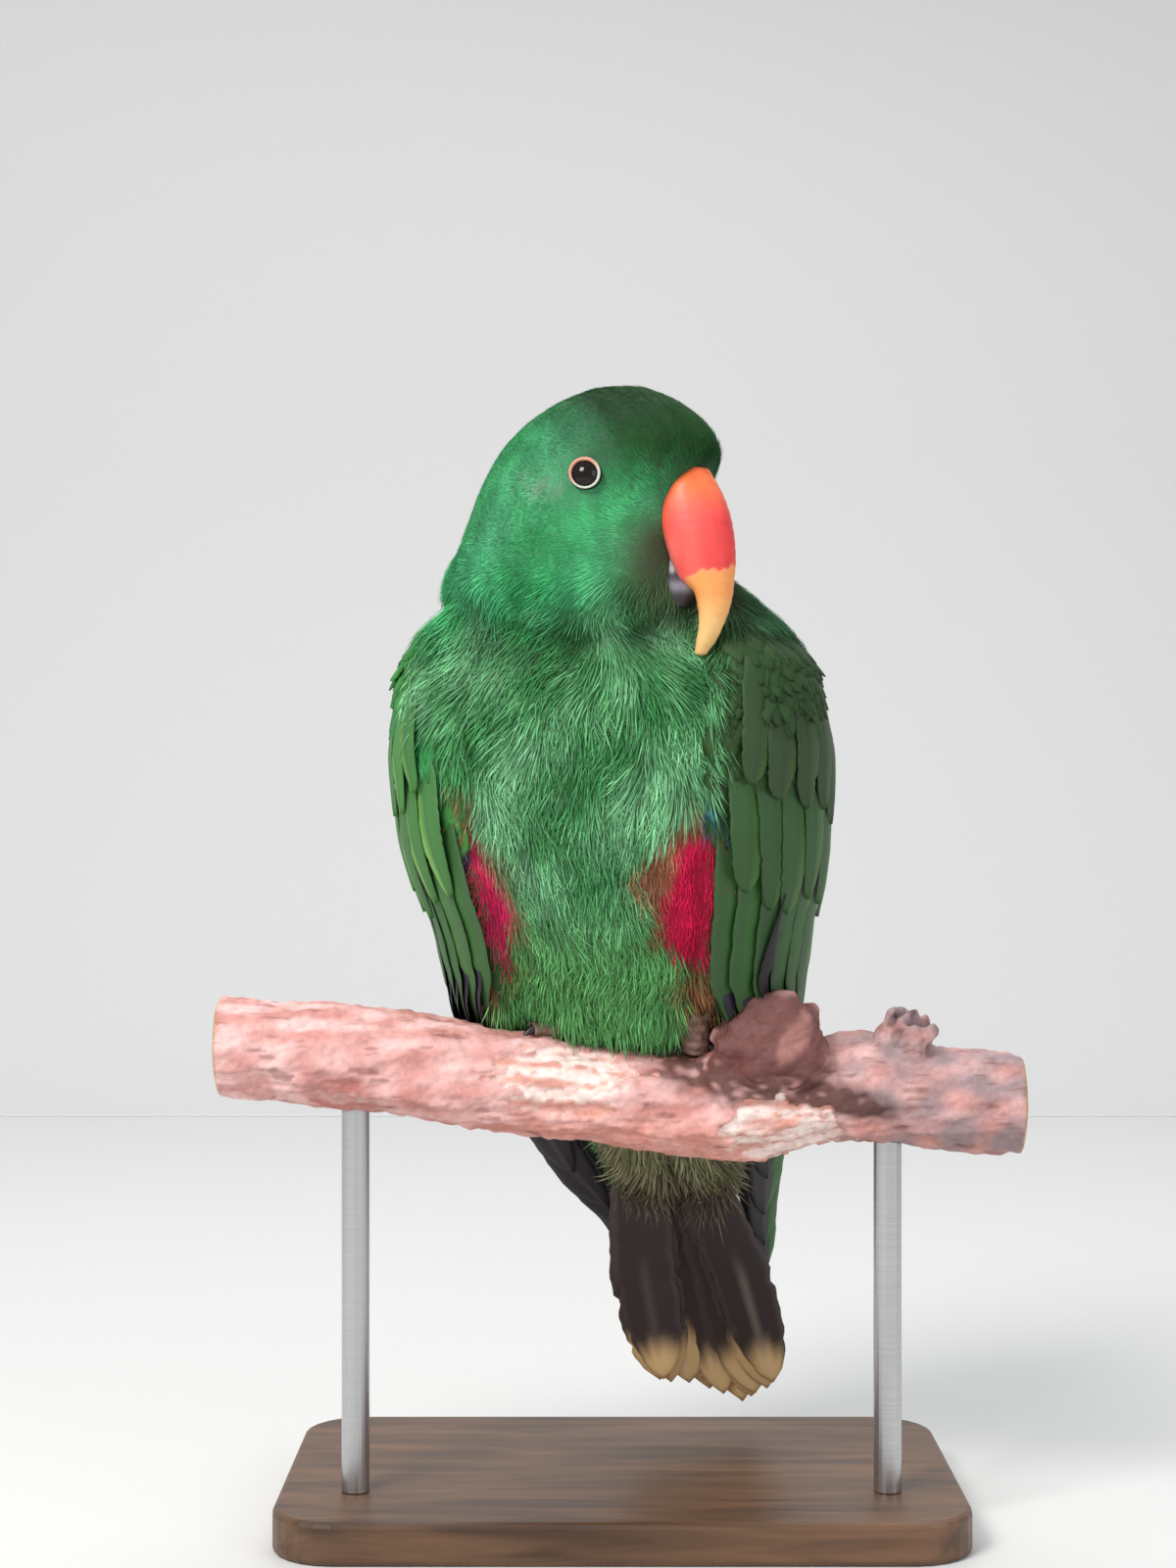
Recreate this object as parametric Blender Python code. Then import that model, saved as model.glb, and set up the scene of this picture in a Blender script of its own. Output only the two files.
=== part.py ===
"""Male eclectus parrot, a still life-size model on a cut length of branch.

Millimetres in the tables below, metres in the meshes, +Z up. The bird faces -Y,
its breast turned a little to -X and its head turned well to +X. The origin is on
the underside of the stand's base, straight under the branch.
"""
import math
import random

import bmesh
import bpy
import numpy as np
from mathutils import Matrix, Vector

MM = 0.001
GAP = 0.3                 # clear space between pieces that meet
BODY_YAW = -11.0          # the way the breast faces, in degrees from -Y towards +X
HEAD_YAW = 57.0           # the way the bill points

# Height, centre x, centre y, half width, depth in front, depth behind, yaw.
BODY = [
    (126.0, 12.0, 30.0, 22.0, 13.5, 12.0, BODY_YAW),
    (132.0, 11.0, 29.0, 27.0, 13.5, 14.5, BODY_YAW),
    (136.0, 10.0, 27.5, 31.0, 16.0, 17.0, BODY_YAW),
    (140.0, 8.5, 26.0, 35.0, 20.5, 20.0, BODY_YAW),
    (144.0, 7.5, 24.0, 38.5, 26.0, 23.5, BODY_YAW),
    (148.0, 6.5, 22.0, 41.5, 31.0, 26.5, BODY_YAW),
    (158.0, 5.2, 17.0, 46.0, 37.0, 32.5, BODY_YAW),
    (172.0, 4.0, 11.0, 51.0, 43.0, 38.5, BODY_YAW),
    (186.0, 2.8, 7.5, 54.5, 46.5, 42.0, BODY_YAW),
    (200.0, 1.6, 4.5, 56.5, 48.0, 43.5, BODY_YAW),
    (214.0, 0.9, 2.0, 57.0, 47.5, 44.0, BODY_YAW),
    (228.0, 0.3, -1.0, 55.5, 45.5, 44.0, BODY_YAW),
    (242.0, 0.0, -4.0, 51.0, 40.5, 43.5, BODY_YAW),
    (250.0, 0.0, -7.0, 46.5, 36.0, 43.0, 0.0),
    (258.0, 0.0, -10.5, 42.0, 33.0, 44.5, 25.0),
    (266.0, 0.0, -14.5, 39.0, 30.0, 46.0, 48.0),
    (274.0, 0.0, -18.0, 36.5, 26.5, 46.5, HEAD_YAW),
    (282.0, 0.0, -20.0, 34.5, 25.5, 44.5, HEAD_YAW),
    (290.0, 0.0, -21.0, 32.8, 26.0, 41.5, HEAD_YAW),
    (297.0, 0.0, -21.0, 31.0, 29.5, 38.5, HEAD_YAW),
    (304.0, 0.0, -21.0, 28.5, 33.5, 34.0, HEAD_YAW),
    (310.0, 0.0, -21.0, 25.5, 32.0, 28.5, HEAD_YAW),
    (315.0, 0.5, -21.0, 21.5, 27.0, 22.5, HEAD_YAW),
    (320.0, 1.5, -21.0, 15.0, 18.5, 14.5, HEAD_YAW),
    (323.0, 2.5, -21.5, 8.5, 10.5, 7.5, HEAD_YAW),
]
CROWN = 324.6
WING_ROOM = 0.8           # clear space between wing and perch
BODY_ROOM = 1.0           # how far a wing's inner face lies off the body
BODY_SIDES = 32
NECK_BASE = 245.0
NECK_TOP = 259.0
HEAD_CENTRE = (0.0, -21.0)

# The surface that the folded wings lie on below the flanks, past the perch.
WING_LOW = [
    (62.0, 29.5, 61.0, 19.5, 5.0, 6.0, BODY_YAW),
    (68.0, 28.0, 59.0, 21.0, 6.0, 7.0, BODY_YAW),
    (80.0, 25.0, 55.0, 24.5, 7.0, 8.0, BODY_YAW),
    (94.0, 19.0, 49.0, 31.5, 9.0, 11.0, BODY_YAW),
    (111.0, 14.0, 42.0, 37.0, 14.0, 15.0, BODY_YAW),
    (126.0, 10.0, 36.0, 42.0, 18.0, 20.0, BODY_YAW),
    (138.0, 7.5, 30.0, 45.0, 22.0, 24.0, BODY_YAW),
    (148.0, 6.0, 22.0, 48.5, 35.0, 31.0, BODY_YAW),
    (158.0, 5.0, 16.5, 49.8, 40.8, 35.0, BODY_YAW),
]
WING = WING_LOW + [row for row in BODY if row[0] > WING_LOW[-1][0]]

# Bill slices: height, back, front and half width, forward from the head's centre.
BILL_UPPER = [
    (299.5, 26.0, 31.5, 4.0),
    (296.0, 22.0, 33.5, 7.6),
    (291.0, 18.0, 36.3, 9.4),
    (285.0, 18.0, 38.3, 10.0),
    (278.0, 23.2, 39.4, 9.5),
    (273.0, 25.7, 39.6, 8.5),
    (268.0, 28.5, 39.2, 7.0),
    (262.0, 30.6, 38.3, 5.0),
    (256.7, 30.3, 36.0, 3.6),
    (252.5, 29.4, 33.6, 2.4),
    (249.2, 28.8, 31.2, 1.2),
]
BILL_LOWER = [
    (281.0, 16.0, 24.0, 6.5),
    (276.0, 16.0, 27.6, 7.0),
    (270.5, 16.0, 29.4, 6.8),
    (265.5, 16.0, 28.6, 5.8),
    (262.0, 16.0, 26.0, 4.2),
]
BILL_SIDES = 16

EYE_HEIGHT = 296.5
EYE_FORWARD = 11.0
EYE_RADIUS = 4.8
EYE_SHOWS = 1.3           # how far the ball stands out of the plumage
LID_RADIUS = 4.1
LID_THICK = 0.9
NOSTRIL_RADIUS = 1.2

# Perch: x, centre height and radius along the cut length of branch.
PERCH = [
    (-111.0, 139.5, 13.8),
    (-84.0, 136.6, 14.4),
    (-56.0, 133.6, 14.8),
    (-33.6, 130.1, 14.7),
    (-5.6, 126.5, 13.9),
    (20.2, 123.1, 14.8),
    (44.5, 121.6, 15.4),
    (68.3, 127.0, 15.1),
    (95.2, 124.5, 14.4),
    (118.0, 123.1, 13.9),
]
KNOBS = (((46.0, -11.0, 140.5), (15.5, 11.0, 15.0)), ((35.0, -12.0, 131.0), (12.5, 9.5, 12.0)))
KNOB_SWELL = 0.05
STUB_FOOT = (80.0, -2.0, 132.0)
STUB_TIP = (87.0, -6.0, 146.5)
STUB_RADII = (9.5, 6.5)

BASE_THICK = 12.0
BASE_X = (-94.0, 102.0)
BASE_Y = (-32.0, 86.0)
BASE_CORNER = 18.0
BASE_EDGE = 1.5
ROD_RADIUS = 4.0
ROD_PLACES = {"stand_rod_left": -72.0, "stand_rod_right": 80.0}

FOOT_PLACES = {"right": -17.0, "left": 25.0}
SHANK_RADIUS = 4.2
ANKLE_RISE = 10.0         # the ankle's height over the top of the perch
TOE_ROOM = 6.4            # clear space between belly and perch for the toes
TOE_RADIUS = 2.9
TOES = ((-4.5, 31.0), (4.0, 33.0), (-8.0, -35.0), (5.0, -33.0))   # splay, reach round the perch

# The middle of the tail from its tip up: height, x, y.
TAIL_LINE = [
    (20.0, 36.0, 67.5),
    (44.0, 30.5, 59.5),
    (62.0, 26.5, 53.0),
    (80.0, 22.5, 46.5),
    (98.0, 18.5, 40.0),
    (112.0, 15.0, 34.5),
    (125.7, 12.0, 30.0),
]
# Half width and depth of the fleshy root of the tail at each height.
TAIL_CORE = [(125.7, 22.0, 13.5, 12.0), (117.0, 21.5, 10.5, 10.0), (108.0, 19.5, 7.5, 7.5),
             (98.0, 15.5, 5.0, 5.0), (90.0, 9.0, 2.6, 2.6)]
RECTRICES = 12
RECTRIX_HALF = 11.0
RECTRIX_STEP = 0.95       # how far each tail feather lies before the next
RECTRIX_SPREAD = (7.5, 15.5, 19.0)      # half the fan's width at its root, middle and tip
VANE_THICK = 0.6

# Tiers of a folded wing. Shares run from 0 at its front edge to 1 at its back edge.
# Count, shares at the roots, shares at the tips, heights of the first and last root,
# heights of the first and last tip, half width, sink of the roots, sink of the tips.
WING_TIERS = {
    "secondaries": (7, (0.10, 0.93), (0.08, 0.84), (206.0, 210.0), (136.0, 152.0), 9.6, 4.2, 0.9),
    "greater coverts": (7, (0.06, 0.95), (0.06, 0.94), (228.0, 230.0), (181.0, 176.0), 9.8, 3.9, 0.0),
}
VANE_STEPS = 5
TILT = 0.9                # how far a vane's back edge stands over its middle
# Primaries from the outermost in: height of the tip.
PRIMARY_TIPS = (100.0, 80.0, 65.0, 68.0, 84.0)
PRIMARY_HALF = 6.0
PRIMARY_ROOT = 172.0
PRIMARY_STEP = 1.0        # how far each primary lies over the one before
PRIMARY_SINK = 2.2        # how far the outermost lies under the surface that wings lie on

# The fleshy wing under them: heights of its rows, and how far it lies under the outline.
CORE_ROWS = (146, 156, 170, 185, 200, 214, 226, 236, 244, 251, 258, 264)
CORE_SINK = ((146.0, 2.4), (214.0, 2.4), (232.0, 0.6), (244.0, 0.0))
CORE_EDGE = 1.2
TOP_LIFT = {-1: 4.0, 1: 14.0}           # how far the shoulder is drawn up, right and left

COLOURS = {
    "green": ((0.045, 0.40, 0.12), 0.6, 0.0),
    "wing green": ((0.045, 0.19, 0.035), 0.55, 0.0),
    "tail dark": ((0.03, 0.022, 0.022), 0.6, 0.0),
    "coral": ((0.95, 0.14, 0.10), 0.35, 0.0),
    "bill dark": ((0.05, 0.05, 0.055), 0.4, 0.0),
    "eye": ((0.006, 0.005, 0.005), 0.08, 0.0),
    "foot": ((0.11, 0.09, 0.085), 0.6, 0.0),
    "bark": ((0.52, 0.24, 0.19), 0.85, 0.0),
    "wood": ((0.13, 0.07, 0.04), 0.45, 0.0),
    "steel": ((0.55, 0.55, 0.56), 0.3, 1.0),
}


def material(name):
    """Principled material of one of the named colours."""
    if name in bpy.data.materials:
        return bpy.data.materials[name]
    colour, roughness, metallic = COLOURS[name]
    made = bpy.data.materials.new(name)
    made.use_nodes = True
    shader = made.node_tree.nodes["Principled BSDF"]
    shader.inputs["Base Color"].default_value = (*colour, 1.0)
    shader.inputs["Roughness"].default_value = roughness
    shader.inputs["Metallic"].default_value = metallic
    made.diffuse_color = (*colour, 1.0)
    return made


def mesh_object(name, points, faces, colour=None):
    """Object from points in millimetres, with its faces turned outwards."""
    mesh = bpy.data.meshes.new(name)
    mesh.from_pydata([tuple(c * MM for c in p) for p in points], [], faces)
    work = bmesh.new()
    work.from_mesh(mesh)
    bmesh.ops.recalc_face_normals(work, faces=work.faces)
    work.to_mesh(mesh)
    work.free()
    made = bpy.data.objects.new(name, mesh)
    bpy.context.scene.collection.objects.link(made)
    if colour:
        made.data.materials.append(material(colour))
    return made


def smooth_row(table, key):
    """Row of a table at a key in its first column, on a smooth curve."""
    rows = np.array(table, dtype=float)
    keys = rows[:, 0]
    key = min(max(key, keys[0]), keys[-1])
    i = int(min(max(np.searchsorted(keys, key) - 1, 0), len(keys) - 2))
    slopes = np.gradient(rows, keys, axis=0)
    span = keys[i + 1] - keys[i]
    u = (key - keys[i]) / span
    a = 2 * u**3 - 3 * u**2 + 1
    b = u**3 - 2 * u**2 + u
    c = -2 * u**3 + 3 * u**2
    d = u**3 - u**2
    return (a * rows[i] + b * span * slopes[i] + c * rows[i + 1] + d * span * slopes[i + 1]).tolist()


def on_body(table, azimuth, z, out=0.0):
    """Point on a body's surface, in a direction in degrees from -Y towards +X."""
    _, cx, cy, half, front, back, yaw = smooth_row(table, z)
    beta = math.radians(azimuth - yaw)
    depth = front if math.cos(beta) > 0 else back
    radius = 1.0 / math.hypot(math.sin(beta) / half, math.cos(beta) / depth) + out
    alpha = math.radians(azimuth)
    return Vector((cx + radius * math.sin(alpha), cy - radius * math.cos(alpha), z))


def loft(name, rings, colour=None, start=None, end=None):
    """Closed skin over rings of equal count, closed flat or to a point at each end."""
    count = len(rings[0])
    points = [p for ring in rings for p in ring]
    faces = []
    for k in range(len(rings) - 1):
        for j in range(count):
            n = (j + 1) % count
            faces.append((k * count + j, k * count + n, (k + 1) * count + n, (k + 1) * count + j))
    for pole, first in ((start, 0), (end, (len(rings) - 1) * count)):
        if pole is None:
            faces.append(tuple(range(first, first + count)))
        else:
            points.append(pole)
            top = len(points) - 1
            faces.extend((first + j, first + (j + 1) % count, top) for j in range(count))
    return mesh_object(name, points, faces, colour)


def body_length(name, low, high, steps, sides, colour=None, out=0.0):
    """Length of the body between two heights; the head's runs up to the crown."""
    levels = [low + (high - low) * k / steps for k in range(steps + 1)]
    crown = None
    if high >= BODY[-1][0]:
        crown = (3.0, -22.0, CROWN + out)
    rings = [[on_body(BODY, 360.0 * j / sides, z, out) for j in range(sides)] for z in levels]
    return loft(name, rings, colour, end=crown)


def evaluated(made):
    """Apply an object's modifiers and clear them."""
    graph = bpy.context.evaluated_depsgraph_get()
    mesh = bpy.data.meshes.new_from_object(made.evaluated_get(graph))
    old = made.data
    made.modifiers.clear()
    made.data = mesh
    bpy.data.meshes.remove(old)


def boolean(made, operation, others, solver="EXACT", keep=False):
    """Join or cut an object with others, which go unless they are kept."""
    group = bpy.data.collections.new("cutters")
    bpy.context.scene.collection.children.link(group)
    for other in others:
        group.objects.link(other)
    modifier = made.modifiers.new(operation, "BOOLEAN")
    modifier.operation = operation
    modifier.operand_type = "COLLECTION"
    modifier.collection = group
    modifier.solver = solver
    evaluated(made)
    for other in others:
        group.objects.unlink(other)
        if not keep:
            bpy.data.objects.remove(other)
    bpy.data.collections.remove(group)
    largest_surface(made)


def largest_surface(made):
    """Keep the largest closed surface of an object and merge its doubles."""
    work = bmesh.new()
    work.from_mesh(made.data)
    bmesh.ops.remove_doubles(work, verts=work.verts, dist=1e-6)
    bmesh.ops.triangulate(work, faces=work.faces)
    left = set(work.verts)
    parts = []
    while left:
        queue = [left.pop()]
        part = set(queue)
        while queue:
            vert = queue.pop()
            for edge in vert.link_edges:
                other = edge.other_vert(vert)
                if other in left:
                    left.remove(other)
                    part.add(other)
                    queue.append(other)
        parts.append(part)
    if len(parts) > 1:
        parts.sort(key=surface_volume)
        for part in parts[:-1]:
            bmesh.ops.delete(work, geom=list(part), context="VERTS")
    work.to_mesh(made.data)
    work.free()


def surface_volume(part):
    """Volume inside a set of vertices' triangles."""
    faces = {face for vert in part for face in vert.link_faces}
    total = 0.0
    for face in faces:
        a, b, c = (vert.co for vert in face.verts)
        total += a.dot(b.cross(c)) / 6.0
    return abs(total)


def ball(name, centre, size, segments, rings, colour=None):
    """Ellipsoid from its centre and half sizes in millimetres."""
    work = bmesh.new()
    bmesh.ops.create_uvsphere(work, u_segments=segments, v_segments=rings, radius=1.0)
    scale = Matrix.Diagonal((*(s * MM for s in size), 1.0))
    bmesh.ops.transform(work, matrix=Matrix.Translation(Vector(centre) * MM) @ scale, verts=work.verts)
    mesh = bpy.data.meshes.new(name)
    work.to_mesh(mesh)
    work.free()
    made = bpy.data.objects.new(name, mesh)
    bpy.context.scene.collection.objects.link(made)
    if colour:
        made.data.materials.append(material(colour))
    return made


def tube(name, path, radii, sides, colour=None, tip=None):
    """Round bar along a path, with a radius at each point and an optional pointed tip."""
    rings = []
    for k, centre in enumerate(path):
        ahead = path[min(k + 1, len(path) - 1)] - path[max(k - 1, 0)]
        across = ahead.cross(Vector((1.0, 0.02, 0.01)))
        if across.length < 0.3 * ahead.length:
            across = ahead.cross(Vector((0.02, 0.01, 1.0)))
        across.normalize()
        up = ahead.normalized().cross(across)
        rings.append([
            centre + radii[k] * (math.cos(2 * math.pi * j / sides) * across
                                 + math.sin(2 * math.pi * j / sides) * up)
            for j in range(sides)
        ])
    return loft(name, rings, colour, end=tip)


def head_frame():
    """Forward and leftward directions of the head."""
    yaw = math.radians(HEAD_YAW)
    return Vector((math.sin(yaw), -math.cos(yaw), 0.0)), Vector((math.cos(yaw), math.sin(yaw), 0.0))


def on_head(forward, left, z):
    """Point in the head's own frame."""
    ahead, aside = head_frame()
    return Vector((*HEAD_CENTRE, z)) + forward * ahead + left * aside


def bill_half(name, slices, colour, out=0.0):
    """Half of the bill from level slices, round in front and flatter behind."""
    rings = []
    for z, back, front, half in slices:
        middle = back + 0.45 * (front - back)
        ring = []
        for j in range(BILL_SIDES):
            turn = 2 * math.pi * j / BILL_SIDES
            reach = (front - middle if math.cos(turn) > 0 else middle - back) + out
            ring.append(on_head(middle + reach * math.cos(turn), (half + out) * math.sin(turn), z))
        rings.append(ring)
    if out:
        for point in rings[0]:
            point.z += out
        for point in rings[-1]:
            point.z -= out
    return loft(name, rings, colour)


def eye_place(side):
    """Point on the plumage over the eye and the way the eye looks; side is +1 on the bird's left."""
    row = smooth_row(BODY, EYE_HEIGHT)
    half, front = row[3], row[4]
    across = half * math.sqrt(1.0 - (EYE_FORWARD / front) ** 2)
    ahead, aside = head_frame()
    look = (EYE_FORWARD / front**2 * ahead + side * across / half**2 * aside).normalized()
    look = (look + Vector((0.0, 0.0, 0.12))).normalized()
    return on_head(EYE_FORWARD, side * across, EYE_HEIGHT), look


def make_head():
    """Head with lids round its eyes, pits for its nostrils and the bill let into its face."""
    head = body_length("head", NECK_TOP + GAP, BODY[-1][0], 12, BODY_SIDES, "green")
    lids = []
    balls = []
    for side in (-1, 1):
        place, look = eye_place(side)
        lid = ring_bar(f"lid {side}", place, look, LID_RADIUS, LID_THICK, 14, 6)
        lids.append(lid)
        centre = place - (EYE_RADIUS - EYE_SHOWS) * look
        name = "eye_left" if side > 0 else "eye_right"
        ball(name, centre, [EYE_RADIUS] * 3, 14, 8, "eye")
        balls.append(ball("socket", centre, [EYE_RADIUS + GAP] * 3, 14, 8))
    boolean(head, "UNION", lids)
    pits = [ball("pit", on_head(29.5, side * 6.6, 300.2), [NOSTRIL_RADIUS] * 3, 8, 6) for side in (-1, 1)]
    boolean(head, "DIFFERENCE", balls + pits + bill_room())
    return head


def bill_room():
    """Cutters a gap larger than the two halves of the bill."""
    return [bill_half("room", BILL_UPPER, None, GAP), bill_half("room low", BILL_LOWER, None, GAP)]


def ring_bar(name, centre, axis, radius, thick, around, sides):
    """Closed ring of round bar about an axis."""
    across = axis.cross(Vector((0.0, 0.0, 1.0))).normalized()
    up = across.cross(axis)
    points = []
    for j in range(around):
        turn = 2 * math.pi * j / around
        out = math.cos(turn) * across + math.sin(turn) * up
        for i in range(sides):
            lean = 2 * math.pi * i / sides
            points.append(centre + (radius + thick * math.cos(lean)) * out + thick * math.sin(lean) * axis)
    faces = []
    for j in range(around):
        for i in range(sides):
            n, m = (j + 1) % around, (i + 1) % sides
            faces.append((j * sides + i, n * sides + i, n * sides + m, j * sides + m))
    return mesh_object(name, points, faces)


def make_bill():
    """Upper and lower bill with the line of the mouth between them."""
    upper = bill_half("bill_upper", BILL_UPPER, "coral")
    lower = bill_half("bill_lower", BILL_LOWER, "bill dark")
    boolean(lower, "DIFFERENCE", [bill_half("room", BILL_UPPER, None, GAP)])
    return upper, lower


def perch_row(x):
    """Centre height and radius of the perch at x."""
    return smooth_row(PERCH, x)[1:]


def make_perch(name, out=0.0, colour=None):
    """Cut length of branch with its knob and a broken stub."""
    sides = 16
    steps = 17
    low, high = PERCH[0][0] - out, PERCH[-1][0] + out
    rings = []
    for k in range(steps + 1):
        x = low + (high - low) * k / steps
        z, radius = perch_row(x)
        ring = []
        for j in range(sides):
            turn = 2 * math.pi * j / sides
            swell = 1.0 + 0.03 * math.sin(3 * turn + 0.05 * x) + 0.02 * math.sin(5 * turn - 0.09 * x)
            reach = radius * swell + out
            ring.append((x, -reach * math.cos(turn), z + reach * math.sin(turn)))
        rings.append(ring)
    perch = loft(name, rings, colour)
    knobs = [ball("knob", centre, [s + out for s in size], 14, 9) for centre, size in KNOBS]
    for knob, (centre, _) in zip(knobs, KNOBS):
        for vert in knob.data.vertices:
            arm = vert.co - Vector(centre) * MM
            swell = math.sin(300 * arm.x + 1.0) + math.sin(420 * arm.z) + math.sin(350 * arm.y)
            vert.co += arm * KNOB_SWELL * swell
    foot, tip = Vector(STUB_FOOT), Vector(STUB_TIP)
    stub = tube("stub", [foot, foot.lerp(tip, 0.6), tip], [STUB_RADII[0] + out, 8.0 + out, STUB_RADII[1] + out], 12)
    boolean(perch, "UNION", [*knobs, stub])
    return perch


def make_stand():
    """Flat base and two short rods up to the underside of the perch."""
    points = []
    x0, x1 = BASE_X
    y0, y1 = BASE_Y
    corners = ((x1, y1, 0), (x0, y1, 90), (x0, y0, 180), (x1, y0, 270))
    for x, y, start in corners:
        cx = x - math.copysign(BASE_CORNER, x - (x0 + x1) / 2)
        cy = y - math.copysign(BASE_CORNER, y - (y0 + y1) / 2)
        for k in range(7):
            turn = math.radians(start + 15 * k)
            points.append((cx + BASE_CORNER * math.cos(turn), cy + BASE_CORNER * math.sin(turn)))
    rings = [[(x, y, 0.0) for x, y in points], [(x, y, BASE_THICK) for x, y in points]]
    base = loft("stand_base", rings, "wood")
    bevel = base.modifiers.new("edge", "BEVEL")
    bevel.width = BASE_EDGE * MM
    bevel.segments = 2
    bevel.limit_method = "ANGLE"
    for name, x in ROD_PLACES.items():
        top = perch_row(x)[0]
        rod = tube(name, [Vector((x, 0.0, BASE_THICK + GAP)), Vector((x, 0.0, top))], [ROD_RADIUS] * 2, 24, "steel")
        boolean(rod, "DIFFERENCE", [make_perch("room", GAP)])


def wing_front(z):
    """Front edge of a folded wing, in degrees round from the breast."""
    return float(np.interp(z, [62, 80, 110, 132, 140, 148, 160, 215, 240, 262],
                           [88, 84, 80, 76, 68, 50, 41, 42, 48, 62]))


def wing_back(z):
    """Back edge of a folded wing, in degrees round from the breast."""
    return float(np.interp(z, [62, 80, 110, 132, 150, 172, 240, 262],
                           [100, 118, 136, 150, 160, 166, 164, 140]))


def wing_rise(z):
    """Height of a folded wing's outer face over the body."""
    return float(np.interp(z, [62, 80, 110, 140, 150, 158, 172, 214, 228, 242, 254, 266],
                           [1.6, 2.2, 3.5, 4.0, 3.8, 4.4, 6.0, 7.0, 8.5, 11, 13, 9]))


def on_wing(side, share, z, rise):
    """Point over a folded wing, share 0 at its front edge and 1 at its back edge."""
    turn = wing_front(z) + (wing_back(z) - wing_front(z)) * share
    return on_body(WING, BODY_YAW + side * turn, z, rise)


def wing_core(name, side, across, colour):
    """The fleshy wing, one curved slab with a full edge, its inner face laid over the body."""
    outer, inner = [], []
    for z in CORE_ROWS:
        sink = float(np.interp(z, *zip(*CORE_SINK)))
        full = wing_rise(z) - sink - BODY_ROOM - CORE_EDGE
        if z in (CORE_ROWS[0], CORE_ROWS[-1]):
            full = 0.0
        for i in range(across + 1):
            share = i / across
            edge = min(1.0, 9 * share, 9 * (1 - share)) ** 0.5
            lift = TOP_LIFT[side] * max(0.0, (z - 215.0) / 50.0) ** 2 * math.sin(math.pi * share) ** 2
            outer.append(on_wing(side, share, z + lift, BODY_ROOM + CORE_EDGE + full * edge))
            inner.append(on_wing(side, share, z + lift, BODY_ROOM))
    rows, columns = len(CORE_ROWS), across + 1
    shift = len(outer)
    faces = []
    for k in range(rows - 1):
        for i in range(columns - 1):
            a, b = k * columns + i, k * columns + i + 1
            c, d = b + columns, a + columns
            faces.extend([(a, b, c), (a, c, d)])
            faces.extend([(a + shift, c + shift, b + shift), (a + shift, d + shift, c + shift)])
    rim = list(range(columns))
    rim += [k * columns + columns - 1 for k in range(1, rows)]
    rim += [(rows - 1) * columns + i for i in range(columns - 2, -1, -1)]
    rim += [k * columns for k in range(rows - 2, 0, -1)]
    for a, b in zip(rim, rim[1:] + rim[:1]):
        faces.extend([(a, a + shift, b + shift), (a, b + shift, b)])
    return mesh_object(name, outer + inner, faces, colour)


def vane(path, normals, halves, tilt=0.0):
    """Closed tapered feather about its midline, with both faces split alike."""
    points = []
    for k, centre in enumerate(path):
        along = (path[min(k + 1, len(path) - 1)] - path[max(k - 1, 0)]).normalized()
        across = along.cross(normals[k]).normalized()
        up = across.cross(along)
        for height in (0.5 * VANE_THICK, -0.5 * VANE_THICK):
            for edge in (-1, 1):
                points.append(centre + edge * halves[k] * across + (tilt * edge + height) * up)
    faces = [(0, 1, 3), (0, 3, 2)]
    for k in range(len(path) - 1):
        here, there = 4 * k, 4 * k + 4
        for a, b in ((0, 1), (2, 3), (0, 2), (1, 3)):
            faces.extend([(here + a, here + b, there + b), (here + a, there + b, there + a)])
    last = 4 * (len(path) - 1)
    faces.extend([(last, last + 1, last + 3), (last, last + 3, last + 2)])
    return mesh_object("vane", points, faces)


def tapered(half, steps, root=0.55, tip=0.22):
    """Half widths along a feather, full past its middle and rounded off at its tip."""
    shares = [k / (steps - 1) for k in range(steps)]
    return [half * float(np.interp(u, [0, 0.35, 0.75, 0.92, 1], [root, 1, 1, 0.72, tip])) for u in shares]


def wing_vane(side, shares, heights, rises, half, tilt):
    """Vane on a folded wing from root to tip, its rises over the body given along it."""
    path, normals = [], []
    steps = len(rises)
    for k, rise in enumerate(rises):
        u = k / (steps - 1)
        share = shares[0] + (shares[1] - shares[0]) * u
        z = heights[0] + (heights[1] - heights[0]) * u
        place = on_wing(side, share, z, rise)
        path.append(place)
        normals.append((place - on_wing(side, share, z, rise - 2.0)).normalized())
    return vane(path, normals, tapered(half, steps), -side * tilt)


def make_wing(side):
    """Folded wing on one side of the body, its feathers in overlapping tiers."""
    name = "wing_left" if side > 0 else "wing_right"
    rng = random.Random(7 + side)
    wing = wing_core(name, side, 10, "wing green")
    vanes = []
    for i, tip in enumerate(PRIMARY_TIPS):
        u = i / (len(PRIMARY_TIPS) - 1)
        spread = PRIMARY_STEP * i - PRIMARY_SINK
        start = 2.3 + 0.1 * i
        rises = [start + (spread - start) * w for w in (0.0, 0.0, 0.6, 1.0, 1.0, 1.0)]
        vanes.append(wing_vane(side, (0.06 + 0.40 * u, 0.25 + 0.45 * u), (PRIMARY_ROOT, tip), rises,
                               PRIMARY_HALF, 0.0))
    for count, roots, tips, root_heights, tip_heights, half, root_sink, tip_sink in WING_TIERS.values():
        for i in range(count):
            u = i / (count - 1)
            shares = [a + (b - a) * u for a, b in (roots, tips)]
            heights = [a + (b - a) * u + rng.uniform(-1.2, 1.2) for a, b in (root_heights, tip_heights)]
            rises = []
            for k in range(VANE_STEPS):
                along = k / (VANE_STEPS - 1)
                sink = root_sink + (tip_sink - root_sink) * min(1.0, 1.6 * along)
                rises.append(wing_rise(heights[0] + (heights[1] - heights[0]) * along) - sink)
            vanes.append(wing_vane(side, shares, heights, rises, half * rng.uniform(0.97, 1.03), TILT))
    boolean(wing, "UNION", vanes)
    boolean(wing, "DIFFERENCE", [make_perch("room", WING_ROOM), *bill_room()])
    return wing


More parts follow.
